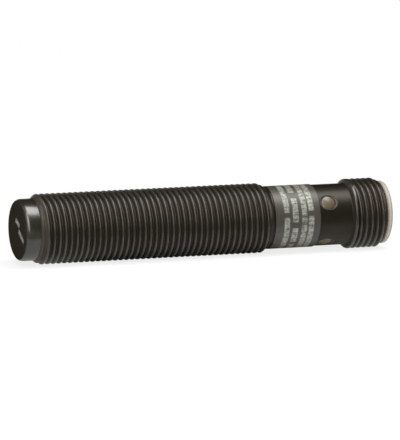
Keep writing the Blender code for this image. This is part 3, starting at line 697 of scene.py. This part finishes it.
# %% [markdown]
# The tube itself: barrel thread, plain shank, shoulder, plug thread, and a bore right through. The
# rings are joined in that order, so the surface is closed and the real wall is there. Sections
# made one by one would show seams, and the real tube is turned from one bar.

# %% Barrel
BORE_CHAMFER = 0.12 * MM
STEP_FOOT_ROUND = 0.1 * MM
STEP_TOP_ROUND = 0.2 * MM


def make_barrel():
    shell = Shell(THREAD_COLUMNS)
    mouth = BORE_RADIUS + BORE_CHAMFER
    front = shell.ring(BARREL_FRONT, SHANK_RADIUS)
    thread_end = shell.ring(THREAD_END, SHANK_RADIUS)
    thread_foot, step_foot = (THREAD_END, SHANK_RADIUS), (SHANK_END, SHANK_RADIUS)
    step_top, land_back = (LAND_START, CREST_RADIUS), (PLUG_THREAD_START, CREST_RADIUS)
    step = [
        (THREAD_END + SLIP, SHANK_RADIUS),
        (SHANK_END - STEP_FOOT_ROUND - SLIP, SHANK_RADIUS),
        *rounded(thread_foot, step_foot, step_top, STEP_FOOT_ROUND, 3),
        *rounded(step_foot, step_top, land_back, STEP_TOP_ROUND, 6),
        (PLUG_THREAD_START - SLIP, CREST_RADIUS),
    ]
    step_rings = [shell.ring(*point) for point in step]
    land_end = shell.ring(*land_back)
    back = shell.ring(BARREL_END, PLUG_END_RADIUS)
    inner = [
        shell.ring(BARREL_END, mouth),
        shell.ring(BARREL_END - BORE_CHAMFER, BORE_RADIUS),
        shell.ring(BARREL_FRONT + BORE_CHAMFER, BORE_RADIUS),
        shell.ring(BARREL_FRONT, mouth),
    ]
    height = CREST_RADIUS - SHANK_RADIUS
    cut_thread(
        shell,
        ((BARREL_FRONT, front), (THREAD_END, thread_end)),
        BARREL_FRONT + FIRST_CREST,
        [
            (BARREL_FRONT, SHANK_RADIUS, height / FRONT_CHAMFER, min),
            (THREAD_END, SHANK_RADIUS, -height / REAR_CHAMFER, min),
        ],
    )
    plug_slope = (CREST_RADIUS - PLUG_END_RADIUS) / PLUG_CHAMFER
    cut_thread(
        shell,
        ((PLUG_THREAD_START, land_end), (BARREL_END, back)),
        PLUG_THREAD_START + PLUG_FIRST_CREST,
        [
            (PLUG_THREAD_START, CREST_RADIUS, -THREAD_DEPTH / RUNOUT, max),
            (BARREL_END, PLUG_END_RADIUS, -plug_slope, min),
        ],
    )
    shell.join(thread_end, *step_rings, land_end)
    shell.join(back, *inner, front)
    return shell.make("threaded_barrel", METAL)


barrel = make_barrel()

# %% [markdown]
# Four window holes stand round the shank, a quarter turn apart, so that the lamps show from any
# side. Each cutter is a round hole with its countersink, turned like any outline and then pointed
# outward. The cut itself finds the curved edge where the hole meets the round wall.

# %% Window holes
WINDOW_COUNT = 4
WINDOW_HOLE_RADIUS = 1.3 * MM
WINDOW_SINK_RADIUS = 1.68 * MM
WINDOW_SINK_DEPTH = 0.22 * MM
WINDOW_FIRST_ANGLE = math.radians(58.5)
CUTTER_OVERHANG = 0.3 * MM
ROUND_COLUMNS = 48


def window_places():
    """Each window's number, and its place: there an outline made round X points outward."""
    for index in range(WINDOW_COUNT):
        angle = WINDOW_FIRST_ANGLE + index * (2 * math.pi / WINDOW_COUNT)
        outward = Vector((0.0, math.cos(angle), math.sin(angle)))
        turned = outward.to_track_quat("X", "Z").to_matrix().to_4x4()
        yield index + 1, Matrix.Translation((WINDOW_STATION, 0.0, 0.0)) @ turned


def window_cutter(number, place):
    slope = (WINDOW_SINK_RADIUS - WINDOW_HOLE_RADIUS) / WINDOW_SINK_DEPTH
    top = SHANK_RADIUS + CUTTER_OVERHANG
    outline = [
        (BORE_RADIUS / 2, 0.0),
        (BORE_RADIUS / 2, WINDOW_HOLE_RADIUS),
        (SHANK_RADIUS - WINDOW_SINK_DEPTH, WINDOW_HOLE_RADIUS),
        (top, WINDOW_SINK_RADIUS + slope * CUTTER_OVERHANG),
        (top, 0.0),
    ]
    return Shell(ROUND_COLUMNS).lathe(outline).make(f"window_cutter_{number}", CUT_MARK, place)


cutters = [window_cutter(*window_place) for window_place in window_places()]
crisp_cuts(apply_booleans(barrel, cutters, "DIFFERENCE"), METAL)
place_piece(barrel, "black_coated_metal", "barrel")

# %% [markdown]
# The cap is moulded in one black plastic. Its side is glossy and mirrors the softbox, while its
# flat face is finely matt, so the face stays dark. Two plain bars are printed on the face. A mask
# for a bar is a product of two bands, one along it and one across it.

# %% Finish: cap plastic
FACE_BARS = (((-0.45, 1.3), 2.1, -66), ((-2.4, -0.8), 3.0, -58))
BAR_WIDTH = 0.75
BAR_EDGE = 0.2
BAR_TONE = (0.34, 0.34, 0.31)
CAP_SIDE_TONES = ((0.016, 0.0132, 0.0076), (0.025, 0.0212, 0.0134))
CAP_FACE_TONES = ((0.021, 0.018, 0.013), (0.030, 0.026, 0.0195))


def face_bars(station, across, up):
    """A mask of two plain bars on the face, each by its middle, length and lean."""
    bars = None
    for (middle_across, middle_up), length, lean in FACE_BARS:
        cosine, sine = math.cos(math.radians(lean)), math.sin(math.radians(lean))
        aside, above = across - middle_across, up - middle_up
        along = above * cosine - aside * sine
        thwart = aside * cosine + above * sine
        bar = inside(along, -length / 2, length / 2, BAR_EDGE)
        bar = bar * inside(thwart, -BAR_WIDTH / 2, BAR_WIDTH / 2, BAR_EDGE)
        bars = bar if bars is None else bars + bar
    return bars * (station < 0.02)


def cap_plastic():
    made, place = new_finish("moulded_black")
    station, across, up, radius = axis_parts(place)
    clouds = grain(place, 0.8, 3.0)
    fine = grain(place, 26.0)
    scuffs = step_between(grain(stretched(place, (1.5, 9.0, 9.0)), 1.0, 3.0), 0.62, 0.75)
    side = step_between(radius, 4.88, 5.08)
    bars = face_bars(station, across, up)
    side_colour = mix_colour(clouds, *CAP_SIDE_TONES)
    face_colour = mix_colour(clouds, *CAP_FACE_TONES)
    base = mix_colour(side, face_colour, side_colour)
    patchy = step_between(grain(place, 2.6), 0.34, 0.6)
    printed = mix_colour(bars * (0.35 + patchy * 0.6), base, BAR_TONE)
    return set_finish(made, {
        "Base Color": printed,
        "Roughness": 0.62 - side * 0.25 + scuffs * 0.08,
        "Specular IOR Level": 0.0,
        "Coat Weight": side,
        "Coat Roughness": 0.24,
        "Coat IOR": 1.62,
        "Normal": bump(fine * (0.35 - side * 0.3) + clouds * 0.6, 0.004),
    })


CAP_PLASTIC = cap_plastic()

# %% [markdown]
# The cap is a cup with a generous round at the face's edge. The skirt behind its head sits inside
# the tube and carries a seal ring in a groove. A bevelled cylinder would do for the head, but one
# turned outline gives the skirt and the groove as well.

# %% Cap
FACE_EDGE_RADIUS = 0.9 * MM
CAP_HEAD_LENGTH = BARREL_FRONT - SLIP / 2
CAP_BACK_ROUND = 0.04 * MM
CAP_FACE_THICKNESS = 1.0 * MM
CAP_SKIRT_WALL = 0.85 * MM
CAP_COLUMNS = 128
SEAL_RADIUS = 0.2 * MM


def groove(station):
    """The corners of a seal ring's groove in the skirt or the insert, front to back."""
    half, bottom = SEAL_RADIUS + SLIP, SKIRT_RADIUS - 2 * SEAL_RADIUS - SLIP
    front, back = station - half, station + half
    return [(front, SKIRT_RADIUS), (front, bottom), (back, bottom), (back, SKIRT_RADIUS)]


def make_cap():
    skirt_end, skirt_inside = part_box("front_cap")[1].x, SKIRT_RADIUS - CAP_SKIRT_WALL
    middle, face_rim = (0.0, 0.0), (0.0, SHANK_RADIUS)
    back_rim, back_foot = (CAP_HEAD_LENGTH, SHANK_RADIUS), (CAP_HEAD_LENGTH, SKIRT_RADIUS)
    outline = [
        middle,
        (0.0, SHANK_RADIUS - FACE_EDGE_RADIUS - SLIP),
        *rounded(middle, face_rim, back_rim, FACE_EDGE_RADIUS, 12),
        *rounded(face_rim, back_rim, back_foot, CAP_BACK_ROUND, 3),
        back_foot,
        *groove(node_middle("cap_seal")),
        (skirt_end, SKIRT_RADIUS),
        (skirt_end, skirt_inside),
        (CAP_FACE_THICKNESS, skirt_inside),
        (CAP_FACE_THICKNESS, 0.0),
    ]
    return Shell(CAP_COLUMNS).lathe(outline).make("sensing_cap", CAP_PLASTIC)


place_piece(make_cap(), "black_plastic", "front_cap")

# %% [markdown]
# The label is a silvered film wrapped once round the shank, with a narrow seam at the back. Four
# rows of light bars and ticks of uneven length are printed round it. Noise along the film breaks
# the rows up, so its start has to lie in the seam, where a jump doesn't show.

# %% Finish: label film
PRINT_ROWS = ((1.47, 2.55), (2.98, 4.10), (4.63, 5.68), (5.86, 6.92))
ROW_EDGE = 0.12
LANE_STEP = 7.3
SEAM_ANGLE = math.radians(60)
FILM_TONES = ((0.041, 0.039, 0.031), (0.076, 0.072, 0.057))
INK_TONE = (0.31, 0.315, 0.275)


def seam_to_seam(across, up):
    """The length round the label from its middle, in mm. Its jump lies in the seam."""
    cosine, sine = math.cos(SEAM_ANGLE), math.sin(SEAM_ANGLE)
    ahead = (across * cosine + up * sine) * -1.0
    aside = (across * -sine + up * cosine) * -1.0
    return ahead.math("ARCTAN2", aside, ahead) * (SHANK_RADIUS / MM)


def print_mask(station, around, place):
    """A mask of four rows, which noise breaks into words of ticks."""
    station = station - LABEL_FRONT / MM
    mask = None
    for index, (low, high) in enumerate(PRINT_ROWS):
        lane = {"X": around, "Y": LANE_STEP * (index + 1)}
        lane = place.node("ShaderNodeCombineXYZ", lane)
        words = step_between(grain(lane, 0.55, 1.0), 0.37, 0.43)
        ticks = step_between(grain(lane, 2.6), 0.40, 0.56)
        flecks = step_between(grain(place, 2.4, 3.0), 0.38, 0.60)
        row = inside(station, low + 0.05, high - 0.05, ROW_EDGE) * words
        row = row * (ticks * 0.40 + 0.08 + flecks * 0.52)
        mask = row if mask is None else mask + row
    return mask.math("MINIMUM", mask, 1.0)


def label_film():
    made, place = new_finish("printed_film")
    station, across, up, _ = axis_parts(place)
    around = seam_to_seam(across, up)
    clouds = grain(stretched(place, (0.5, 1.0, 1.0)), 0.7, 3.0)
    brushed = grain(stretched(place, (1.2, 18.0, 18.0)), 1.0)
    ink = print_mask(station, around, place)
    return set_finish(made, {
        "Base Color": mix_colour(ink, mix_colour(clouds, *FILM_TONES), INK_TONE),
        "Metallic": 0.25 - ink * 0.05,
        "Roughness": 0.36 + brushed * 0.12 + ink * 0.06,
        "Specular IOR Level": 0.38,
        "Coat Weight": 0.1,
        "Coat Roughness": 0.4,
        "Normal": bump(brushed * 0.5 + clouds + ink * 0.35, 0.006),
    })


LABEL_FILM = label_film()

# %% [markdown]
# The film is a thin band whose two ends leave the seam open. Its edges are softened, because a
# die-cut film has no knife edge. A flat strip could be bent and thickened by modifiers, but a
# small section carried round the shank has the soft edges from the start.

# %% Label
LABEL_COLUMNS = 160
LABEL_SEAM = 0.3 * MM
LABEL_THICKNESS = 0.08 * MM


def make_label():
    inner = SHANK_RADIUS + SLIP
    outer = inner + LABEL_THICKNESS
    corner = LABEL_THICKNESS / 3
    section = [
        (LABEL_FRONT, inner),
        (LABEL_BACK, inner),
        (LABEL_BACK, outer - corner),
        (LABEL_BACK - corner, outer),
        (LABEL_FRONT + corner, outer),
        (LABEL_FRONT, outer - corner),
    ]
    half_seam = LABEL_SEAM / (2 * outer)
    span = 2 * (math.pi - half_seam)
    shell = Shell(len(section))
    loops = []
    for column in range(LABEL_COLUMNS + 1):
        angle = SEAM_ANGLE + half_seam + span * column / LABEL_COLUMNS
        loops.append([shell.point(station, radius, angle) for station, radius in section])
    shell.join(*loops)
    shell.face(loops[0])
    shell.face(loops[-1])
    return shell.make("wrapped_label", LABEL_FILM)


place_piece(make_label(), "silver_foil", "label")

# %% [markdown]
# The lamp windows are small domed plugs of tinted plastic. Unlit they look like dull amber. The
# colour is paler in the middle and darker at the rim: a painted glow of light scattered in the
# dome, and a painted shade from the countersink round it. A window's own axis is its X, so the
# distance from that axis tells the rim from the middle.

# %% Finish: lens
LENS_TONES = ((0.074, 0.053, 0.027), (0.102, 0.075, 0.041))
LENS_RIM_SHADE_TONE = (0.066, 0.045, 0.025)


def lens_plastic():
    made, place = new_finish("amber_lens")
    _, _, _, from_middle = axis_parts(place)
    haze = grain(place, 2.2)
    # painted shade: darker towards the rim
    rim = step_between(from_middle, 0.75, 1.25)
    return set_finish(made, {
        "Base Color": mix_colour(rim, mix_colour(haze, *LENS_TONES), LENS_RIM_SHADE_TONE),
        "Roughness": 0.36 + haze * 0.1,
        "Specular IOR Level": 0.25,
        "Coat Weight": 0.6,
        "Coat Roughness": 0.22,
        "Normal": bump(haze, 0.01),
    })


LENS_PLASTIC = lens_plastic()

# %% [markdown]
# Each window is pushed in from inside the tube. A flange behind the wall holds it, and its dome
# ends just below the shank's surface, so that nothing rubs it. It is turned and pointed outward
# like the cutter of its hole, so the two fit.

# %% Lamp windows
WINDOW_FLANGE = 0.25 * MM
WINDOW_FLANGE_THICKNESS = 0.4 * MM
WINDOW_RECESS = 0.06 * MM
WINDOW_DOME = 0.18 * MM
DOME_STEPS = 8


def make_window(number, place):
    stem = WINDOW_HOLE_RADIUS - SLIP
    flange = WINDOW_HOLE_RADIUS + WINDOW_FLANGE
    flange_top = math.sqrt(SKIRT_RADIUS**2 - flange**2)
    top = SHANK_RADIUS - WINDOW_RECESS
    dome = [
        (top - WINDOW_DOME * (step / DOME_STEPS) ** 2, stem * step / DOME_STEPS)
        for step in reversed(range(DOME_STEPS))
    ]
    outline = [
        (flange_top - WINDOW_FLANGE_THICKNESS, 0.0),
        (flange_top - WINDOW_FLANGE_THICKNESS, flange),
        (flange_top, flange),
        (flange_top, stem),
        (top - WINDOW_DOME - SLIP, stem),
        (top - WINDOW_DOME, stem - SLIP),
        *dome,
    ]
    return Shell(ROUND_COLUMNS).lathe(outline).make(f"window_lens_{number}", LENS_PLASTIC, place)


for window_number, window_place in window_places():
    window = make_window(window_number, window_place)
    place_piece(window, "amber_plastic", f"lamp_window_{window_number}")

# %% [markdown]
# The connector insert is moulded in a cream plastic, and only its rim shows past the tube in the
# photo. Random patches of soil darken it. Two lines of painted shade run round it: a brown one at
# its foot, next to the tube's end, and a grey one where the lip's rounded edge turns away. Both
# lines keep to the outside, so that the cup stays clean.

# %% Finish: cream plastic
CREAM_TONES = ((0.37, 0.335, 0.275), (0.455, 0.42, 0.355))
SOIL_TONE = (0.31, 0.26, 0.20)
# painted shade tones: at the rim's foot and at its lip
ROOT_SHADE_TONE = (0.17, 0.115, 0.09)
LIP_SHADE_TONE = (0.13, 0.135, 0.10)


def cream_plastic():
    made, place = new_finish("cream_moulding")
    station, _, _, radius = axis_parts(place)
    clouds = grain(place, 0.7, 3.0)
    fine = grain(place, 20.0)
    soil = step_between(grain(place, 1.9, 4.0), 0.58, 0.75) * 0.35
    soiled = mix_colour(soil, mix_colour(clouds, *CREAM_TONES), SOIL_TONE)
    root, lip = BARREL_END / MM, SENSOR_LENGTH / MM
    outside = step_between(radius, 5.08, 5.18)
    # painted shade: a brown line where the rim meets the tube's end, a grey line on the lip's edge
    painted_root_shade = step_between(station, root + 0.5, root + 0.25) * outside
    painted_lip_shade = step_between(station, lip - 0.4, lip - 0.15) * outside
    shaded = mix_colour(painted_root_shade * 0.7, soiled, ROOT_SHADE_TONE)
    return set_finish(made, {
        "Base Color": mix_colour(painted_lip_shade * 0.65, shaded, LIP_SHADE_TONE),
        "Roughness": 0.46 + fine * 0.12,
        "Specular IOR Level": 0.4,
        "Normal": bump(fine * 0.6 + clouds * 0.4, 0.006),
    })


CREAM_PLASTIC = cream_plastic()

# %% [markdown]
# Behind the rim is the cup that a plug pushes into. It is round but for a key and two lugs, so it
# is turned from one outline and they are joined on. Its inner parts stand rolled a little about
# the axis, as the solid model has them.

# %% Insert outline
RIM_RADIUS = 5.35 * MM
RIM_START = BARREL_END + SEAT
CUP_RADIUS = 4.25 * MM
CUP_FLOOR_STATION = SENSOR_LENGTH - 7.7 * MM
INSERT_FRONT = CUP_FLOOR_STATION - 1.7 * MM
RIM_ROUND = 0.25 * MM
CUP_ROUND = 0.2 * MM
INNER_ROLL = math.radians(13.5)
INSERT_COLUMNS = 96


def roll(matrix):
    """Roll a matrix about the axis with the inner parts."""
    return Matrix.Rotation(INNER_ROLL, 4, "X") @ matrix


def insert_outline():
    rim_start, rim = (RIM_START, RIM_RADIUS), (SENSOR_LENGTH, RIM_RADIUS)
    mouth, foot = (SENSOR_LENGTH, CUP_RADIUS), (CUP_FLOOR_STATION, CUP_RADIUS)
    floor_middle = (CUP_FLOOR_STATION, 0.0)
    return [
        (INSERT_FRONT, 0.0),
        (INSERT_FRONT, SKIRT_RADIUS),
        *groove(node_middle("insert_seal")),
        (RIM_START, SKIRT_RADIUS),
        (RIM_START, RIM_RADIUS - SLIP),
        (RIM_START + SLIP, RIM_RADIUS),
        *rounded(rim_start, rim, mouth, RIM_ROUND, 6),
        *rounded(rim, mouth, foot, CUP_ROUND, 5),
        *rounded(mouth, foot, floor_middle, CUP_ROUND, 3),
        floor_middle,
    ]


insert = Shell(INSERT_COLUMNS).lathe(insert_outline()).make("plug_insert", CREAM_PLASTIC)

# %% [markdown]
# A key rib in the cup sets a plug's roll, and two lugs at the back grip the circuit board. They
# are blocks with bevelled edges, sunk a little into the turned body and joined to it.

# %% Key rib and lugs
KEY_WIDTH = 1.2 * MM
KEY_HEIGHT = 0.7 * MM
KEY_SETBACK = 1.0 * MM
LUG_LENGTH = 2.6 * MM
LUG_SIDE = 1.6 * MM
LUG_BITE = 0.4 * MM
BOARD_THICKNESS = 1.0 * MM
BLOCK_ROUND = 0.08 * MM


def soft_block(name, size, centre):
    """A block with bevelled edges, rolled with the inner parts."""
    sheet = bmesh.new()
    bmesh.ops.create_cube(sheet, size=1.0, matrix=Matrix.LocRotScale(Vector(centre), None, size))
    bmesh.ops.bevel(
        sheet, geom=sheet.edges[:], offset=BLOCK_ROUND, segments=2, affect="EDGES", profile=0.5
    )
    mesh = bpy.data.meshes.new(name)
    sheet.to_mesh(mesh)
    sheet.free()
    return dress(new_object(name, mesh, roll(Matrix.Identity(4))), CREAM_PLASTIC)


def key_rib():
    root = (SKIRT_RADIUS - CUP_RADIUS) / 2
    length = SENSOR_LENGTH - KEY_SETBACK - CUP_FLOOR_STATION + root
    height = KEY_HEIGHT + root
    centre = (CUP_FLOOR_STATION - root + length / 2, CUP_RADIUS + root - height / 2, 0.0)
    return soft_block("key_rib", (length, height, KEY_WIDTH), centre)


def board_lug(side):
    length = LUG_LENGTH + LUG_BITE
    up = side * (BOARD_THICKNESS / 2 + SEAT + LUG_SIDE / 2)
    centre = (INSERT_FRONT + LUG_BITE - length / 2, 0.0, up)
    return soft_block(f"board_lug_{side}", (length, LUG_SIDE, LUG_SIDE), centre)


apply_booleans(insert, [key_rib(), board_lug(1), board_lug(-1)], "UNION")
print("insert with its rib and lugs has", len(insert.data.polygons), "faces")

# %% [markdown]
# Four holes run through the cup's floor, a slip fit round the contacts. They are cut last, so
# that only their own rims carry the cutters' mark.

# %% Contact holes
CONTACT_COUNT = 4
CONTACT_CIRCLE_RADIUS = 2.5 * MM
CONTACT_RADIUS = 0.5 * MM
HOLE_OVERRUN = 1.0 * MM
HOLE_COLUMNS = 24


def contact_places():
    """Each contact's number, and its place, rolled with the inner parts."""
    for index in range(CONTACT_COUNT):
        angle = math.pi / 4 + index * 2 * math.pi / CONTACT_COUNT
        across = CONTACT_CIRCLE_RADIUS * math.cos(angle)
        up = CONTACT_CIRCLE_RADIUS * math.sin(angle)
        yield index + 1, roll(Matrix.Translation((0.0, across, up)))


def contact_hole(number, place):
    hole = CONTACT_RADIUS + SLIP
    start, end = INSERT_FRONT - HOLE_OVERRUN, CUP_FLOOR_STATION + HOLE_OVERRUN
    outline = [(start, 0.0), (start, hole), (end, hole), (end, 0.0)]
    return Shell(HOLE_COLUMNS).lathe(outline).make(f"contact_hole_{number}", CUT_MARK, place)


contact_holes = [contact_hole(*contact_place) for contact_place in contact_places()]
crisp_cuts(apply_booleans(insert, contact_holes, "DIFFERENCE"), CREAM_PLASTIC)
place_piece(insert, "cream_plastic", "connector_insert")

# %% [markdown]
# Four turned contacts stand in the cup. Gold plate is soft and bright, with fine turning marks.
# The blunt nose, which finds its way into a socket, is the outline's last corner, rounded wide.

# %% Contacts
TAIL_RADIUS = 0.4 * MM
CONTACT_COLUMNS = 40
NOSE_ROUND = CONTACT_RADIUS * 0.8
GOLD_TONES = ((0.70, 0.46, 0.15), (0.84, 0.61, 0.26))


def gold_plate():
    made, place = new_finish("gold_plating")
    turning = grain(stretched(place, (30.0, 1.0, 1.0)), 1.0, 1.0)
    clouds = grain(place, 1.6)
    return set_finish(made, {
        "Base Color": mix_colour(clouds, *GOLD_TONES),
        "Metallic": 1.0,
        "Roughness": 0.20 + turning * 0.14,
        "Normal": bump(turning, 0.003),
    })


def make_contact(number, place, material):
    low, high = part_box(f"contact_pin_{number}")
    tip = high.x
    shoulder = INSERT_FRONT - SEAT
    foot, edge, middle = (shoulder, CONTACT_RADIUS), (tip, CONTACT_RADIUS), (tip, 0.0)
    outline = [
        (low.x, 0.0),
        (low.x, TAIL_RADIUS - SLIP),
        (low.x + SLIP, TAIL_RADIUS),
        (shoulder, TAIL_RADIUS),
        foot,
        *rounded(foot, edge, middle, NOSE_ROUND, 8),
        middle,
    ]
    return Shell(CONTACT_COLUMNS).lathe(outline).make(f"plug_contact_{number}", material, place)


gold = gold_plate()
for contact_number, contact_place in contact_places():
    contact = make_contact(contact_number, contact_place, gold)
    place_piece(contact, "gold_plate", f"contact_pin_{contact_number}")

# %% [markdown]
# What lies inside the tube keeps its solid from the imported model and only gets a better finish.
# These parts are seen when the model is taken apart or cut open.

# %% Dressing the inner parts
INNER_FINISHES = {  # two tones, roughness, grains to a mm, relief in mm, and pieces
    "seal_rubber": (
        (0.012, 0.012, 0.012), (0.028, 0.028, 0.027), 0.72, 24.0, 0.004, "cap_seal", "insert_seal"
    ),
    "sintered_ferrite": (
        (0.035, 0.035, 0.038), (0.075, 0.074, 0.076), 0.58, 30.0, 0.008, "ferrite_core"
    ),
    "natural_moulding": (
        (0.56, 0.52, 0.43), (0.68, 0.64, 0.54), 0.45, 14.0, 0.004, "coil_bobbin", "core_holder"
    ),
    "chip_moulding": (
        (0.022, 0.022, 0.024), (0.045, 0.045, 0.046), 0.62, 32.0, 0.006,
        "detector_chip", "output_transistor", "trim_resistor",
    ),
    "fired_ceramic": (
        (0.30, 0.18, 0.095), (0.43, 0.29, 0.17), 0.42, 20.0, 0.004, "filter_capacitor"
    ),
    "diode_glass": ((0.28, 0.05, 0.025), (0.42, 0.11, 0.06), 0.14, 6.0, 0.001, "surge_diode"),
    "lamp_resin": ((0.66, 0.45, 0.15), (0.78, 0.60, 0.27), 0.12, 5.0, 0.001, "status_lamp_"),
    "wire_sleeve": ((0.38, 0.37, 0.35), (0.52, 0.51, 0.49), 0.5, 18.0, 0.003, "lead_wire_"),
}


def finish_nodes(material, *starts):
    """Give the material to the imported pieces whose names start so."""
    for name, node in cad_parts.items():
        if name.startswith(starts):
            node.data.materials.clear()
            node.data.materials.append(material)


def dress_inner(name, one, other, roughness, scale, depth, *starts):
    """Give pieces a finish of two tones and a fine relief."""
    made, place = new_finish(name)
    clouds = grain(place, scale * 0.15, 3.0)
    fine = grain(place, scale)
    set_finish(made, {
        "Base Color": mix_colour(clouds * 0.6 + fine * 0.4, one, other),
        "Roughness": roughness + (fine - 0.5) * 0.18,
        "Specular IOR Level": 0.4,
        "Normal": bump(fine, depth),
    })
    finish_nodes(made, *starts)


for finish_name, finish_values in INNER_FINISHES.items():
    dress_inner(finish_name, *finish_values)

# %% [markdown]
# The coil is one solid ring in the model. Its finish draws the turns of enamelled wire: a wave
# along the axis gives each turn a round back and a gap in relief, and the gap gets a painted shade.

# %% Finish: copper wire
WIRE_PITCH = 0.12
COPPER_TONES = ((0.58, 0.22, 0.08), (0.72, 0.34, 0.16))
GAP_SHADE_TONE = (0.10, 0.03, 0.012)


def copper_wire():
    made, place = new_finish("enamelled_copper")
    station, _, _, radius = axis_parts(place)
    phase = (station + radius) * (2 * math.pi / WIRE_PITCH)
    turns = phase.math("SINE", phase) * 0.5 + 0.5
    clouds = grain(place, 1.2)
    return set_finish(made, {
        # painted shade: the gaps between the turns are darker
        "Base Color": mix_colour(
            step_between(turns, 0.0, 0.35), GAP_SHADE_TONE, mix_colour(clouds, *COPPER_TONES)
        ),
        "Metallic": 0.85,
        "Roughness": 0.26 + clouds * 0.14,
        "Normal": bump(turns, 0.02),
    })


finish_nodes(copper_wire(), "coil_winding", "coil_lead_")

# %% [markdown]
# A board is green because of its solder resist. Copper tracks under it show as a lighter green,
# slightly raised. Here they are even bands that a stepped noise breaks up.

# %% Finish: circuit board
LANE_PITCH = 1.1
RESIST_TONES = ((0.016, 0.12, 0.045), (0.030, 0.18, 0.075))
TRACK_TONE = (0.06, 0.27, 0.12)


def board_resist():
    made, place = new_finish("solder_resist")
    _, across, _, _ = axis_parts(place)
    phase = across * (2 * math.pi / LANE_PITCH)
    lanes = phase.math("SINE", phase)
    breaks = step_between(grain(stretched(place, (0.35, 1.8, 0.2)), 1.0, 1.0), 0.46, 0.50)
    tracks = step_between(lanes, 0.25, 0.45) * breaks
    weave = grain(place, 6.0)
    return set_finish(made, {
        "Base Color": mix_colour(tracks, mix_colour(weave, *RESIST_TONES), TRACK_TONE),
        "Roughness": 0.34 + weave * 0.12,
        "Coat Weight": 0.4 + tracks * 0.2,
        "Normal": bump(tracks * 0.8 + weave * 0.2, 0.02),
    })


finish_nodes(board_resist(), "circuit_board")
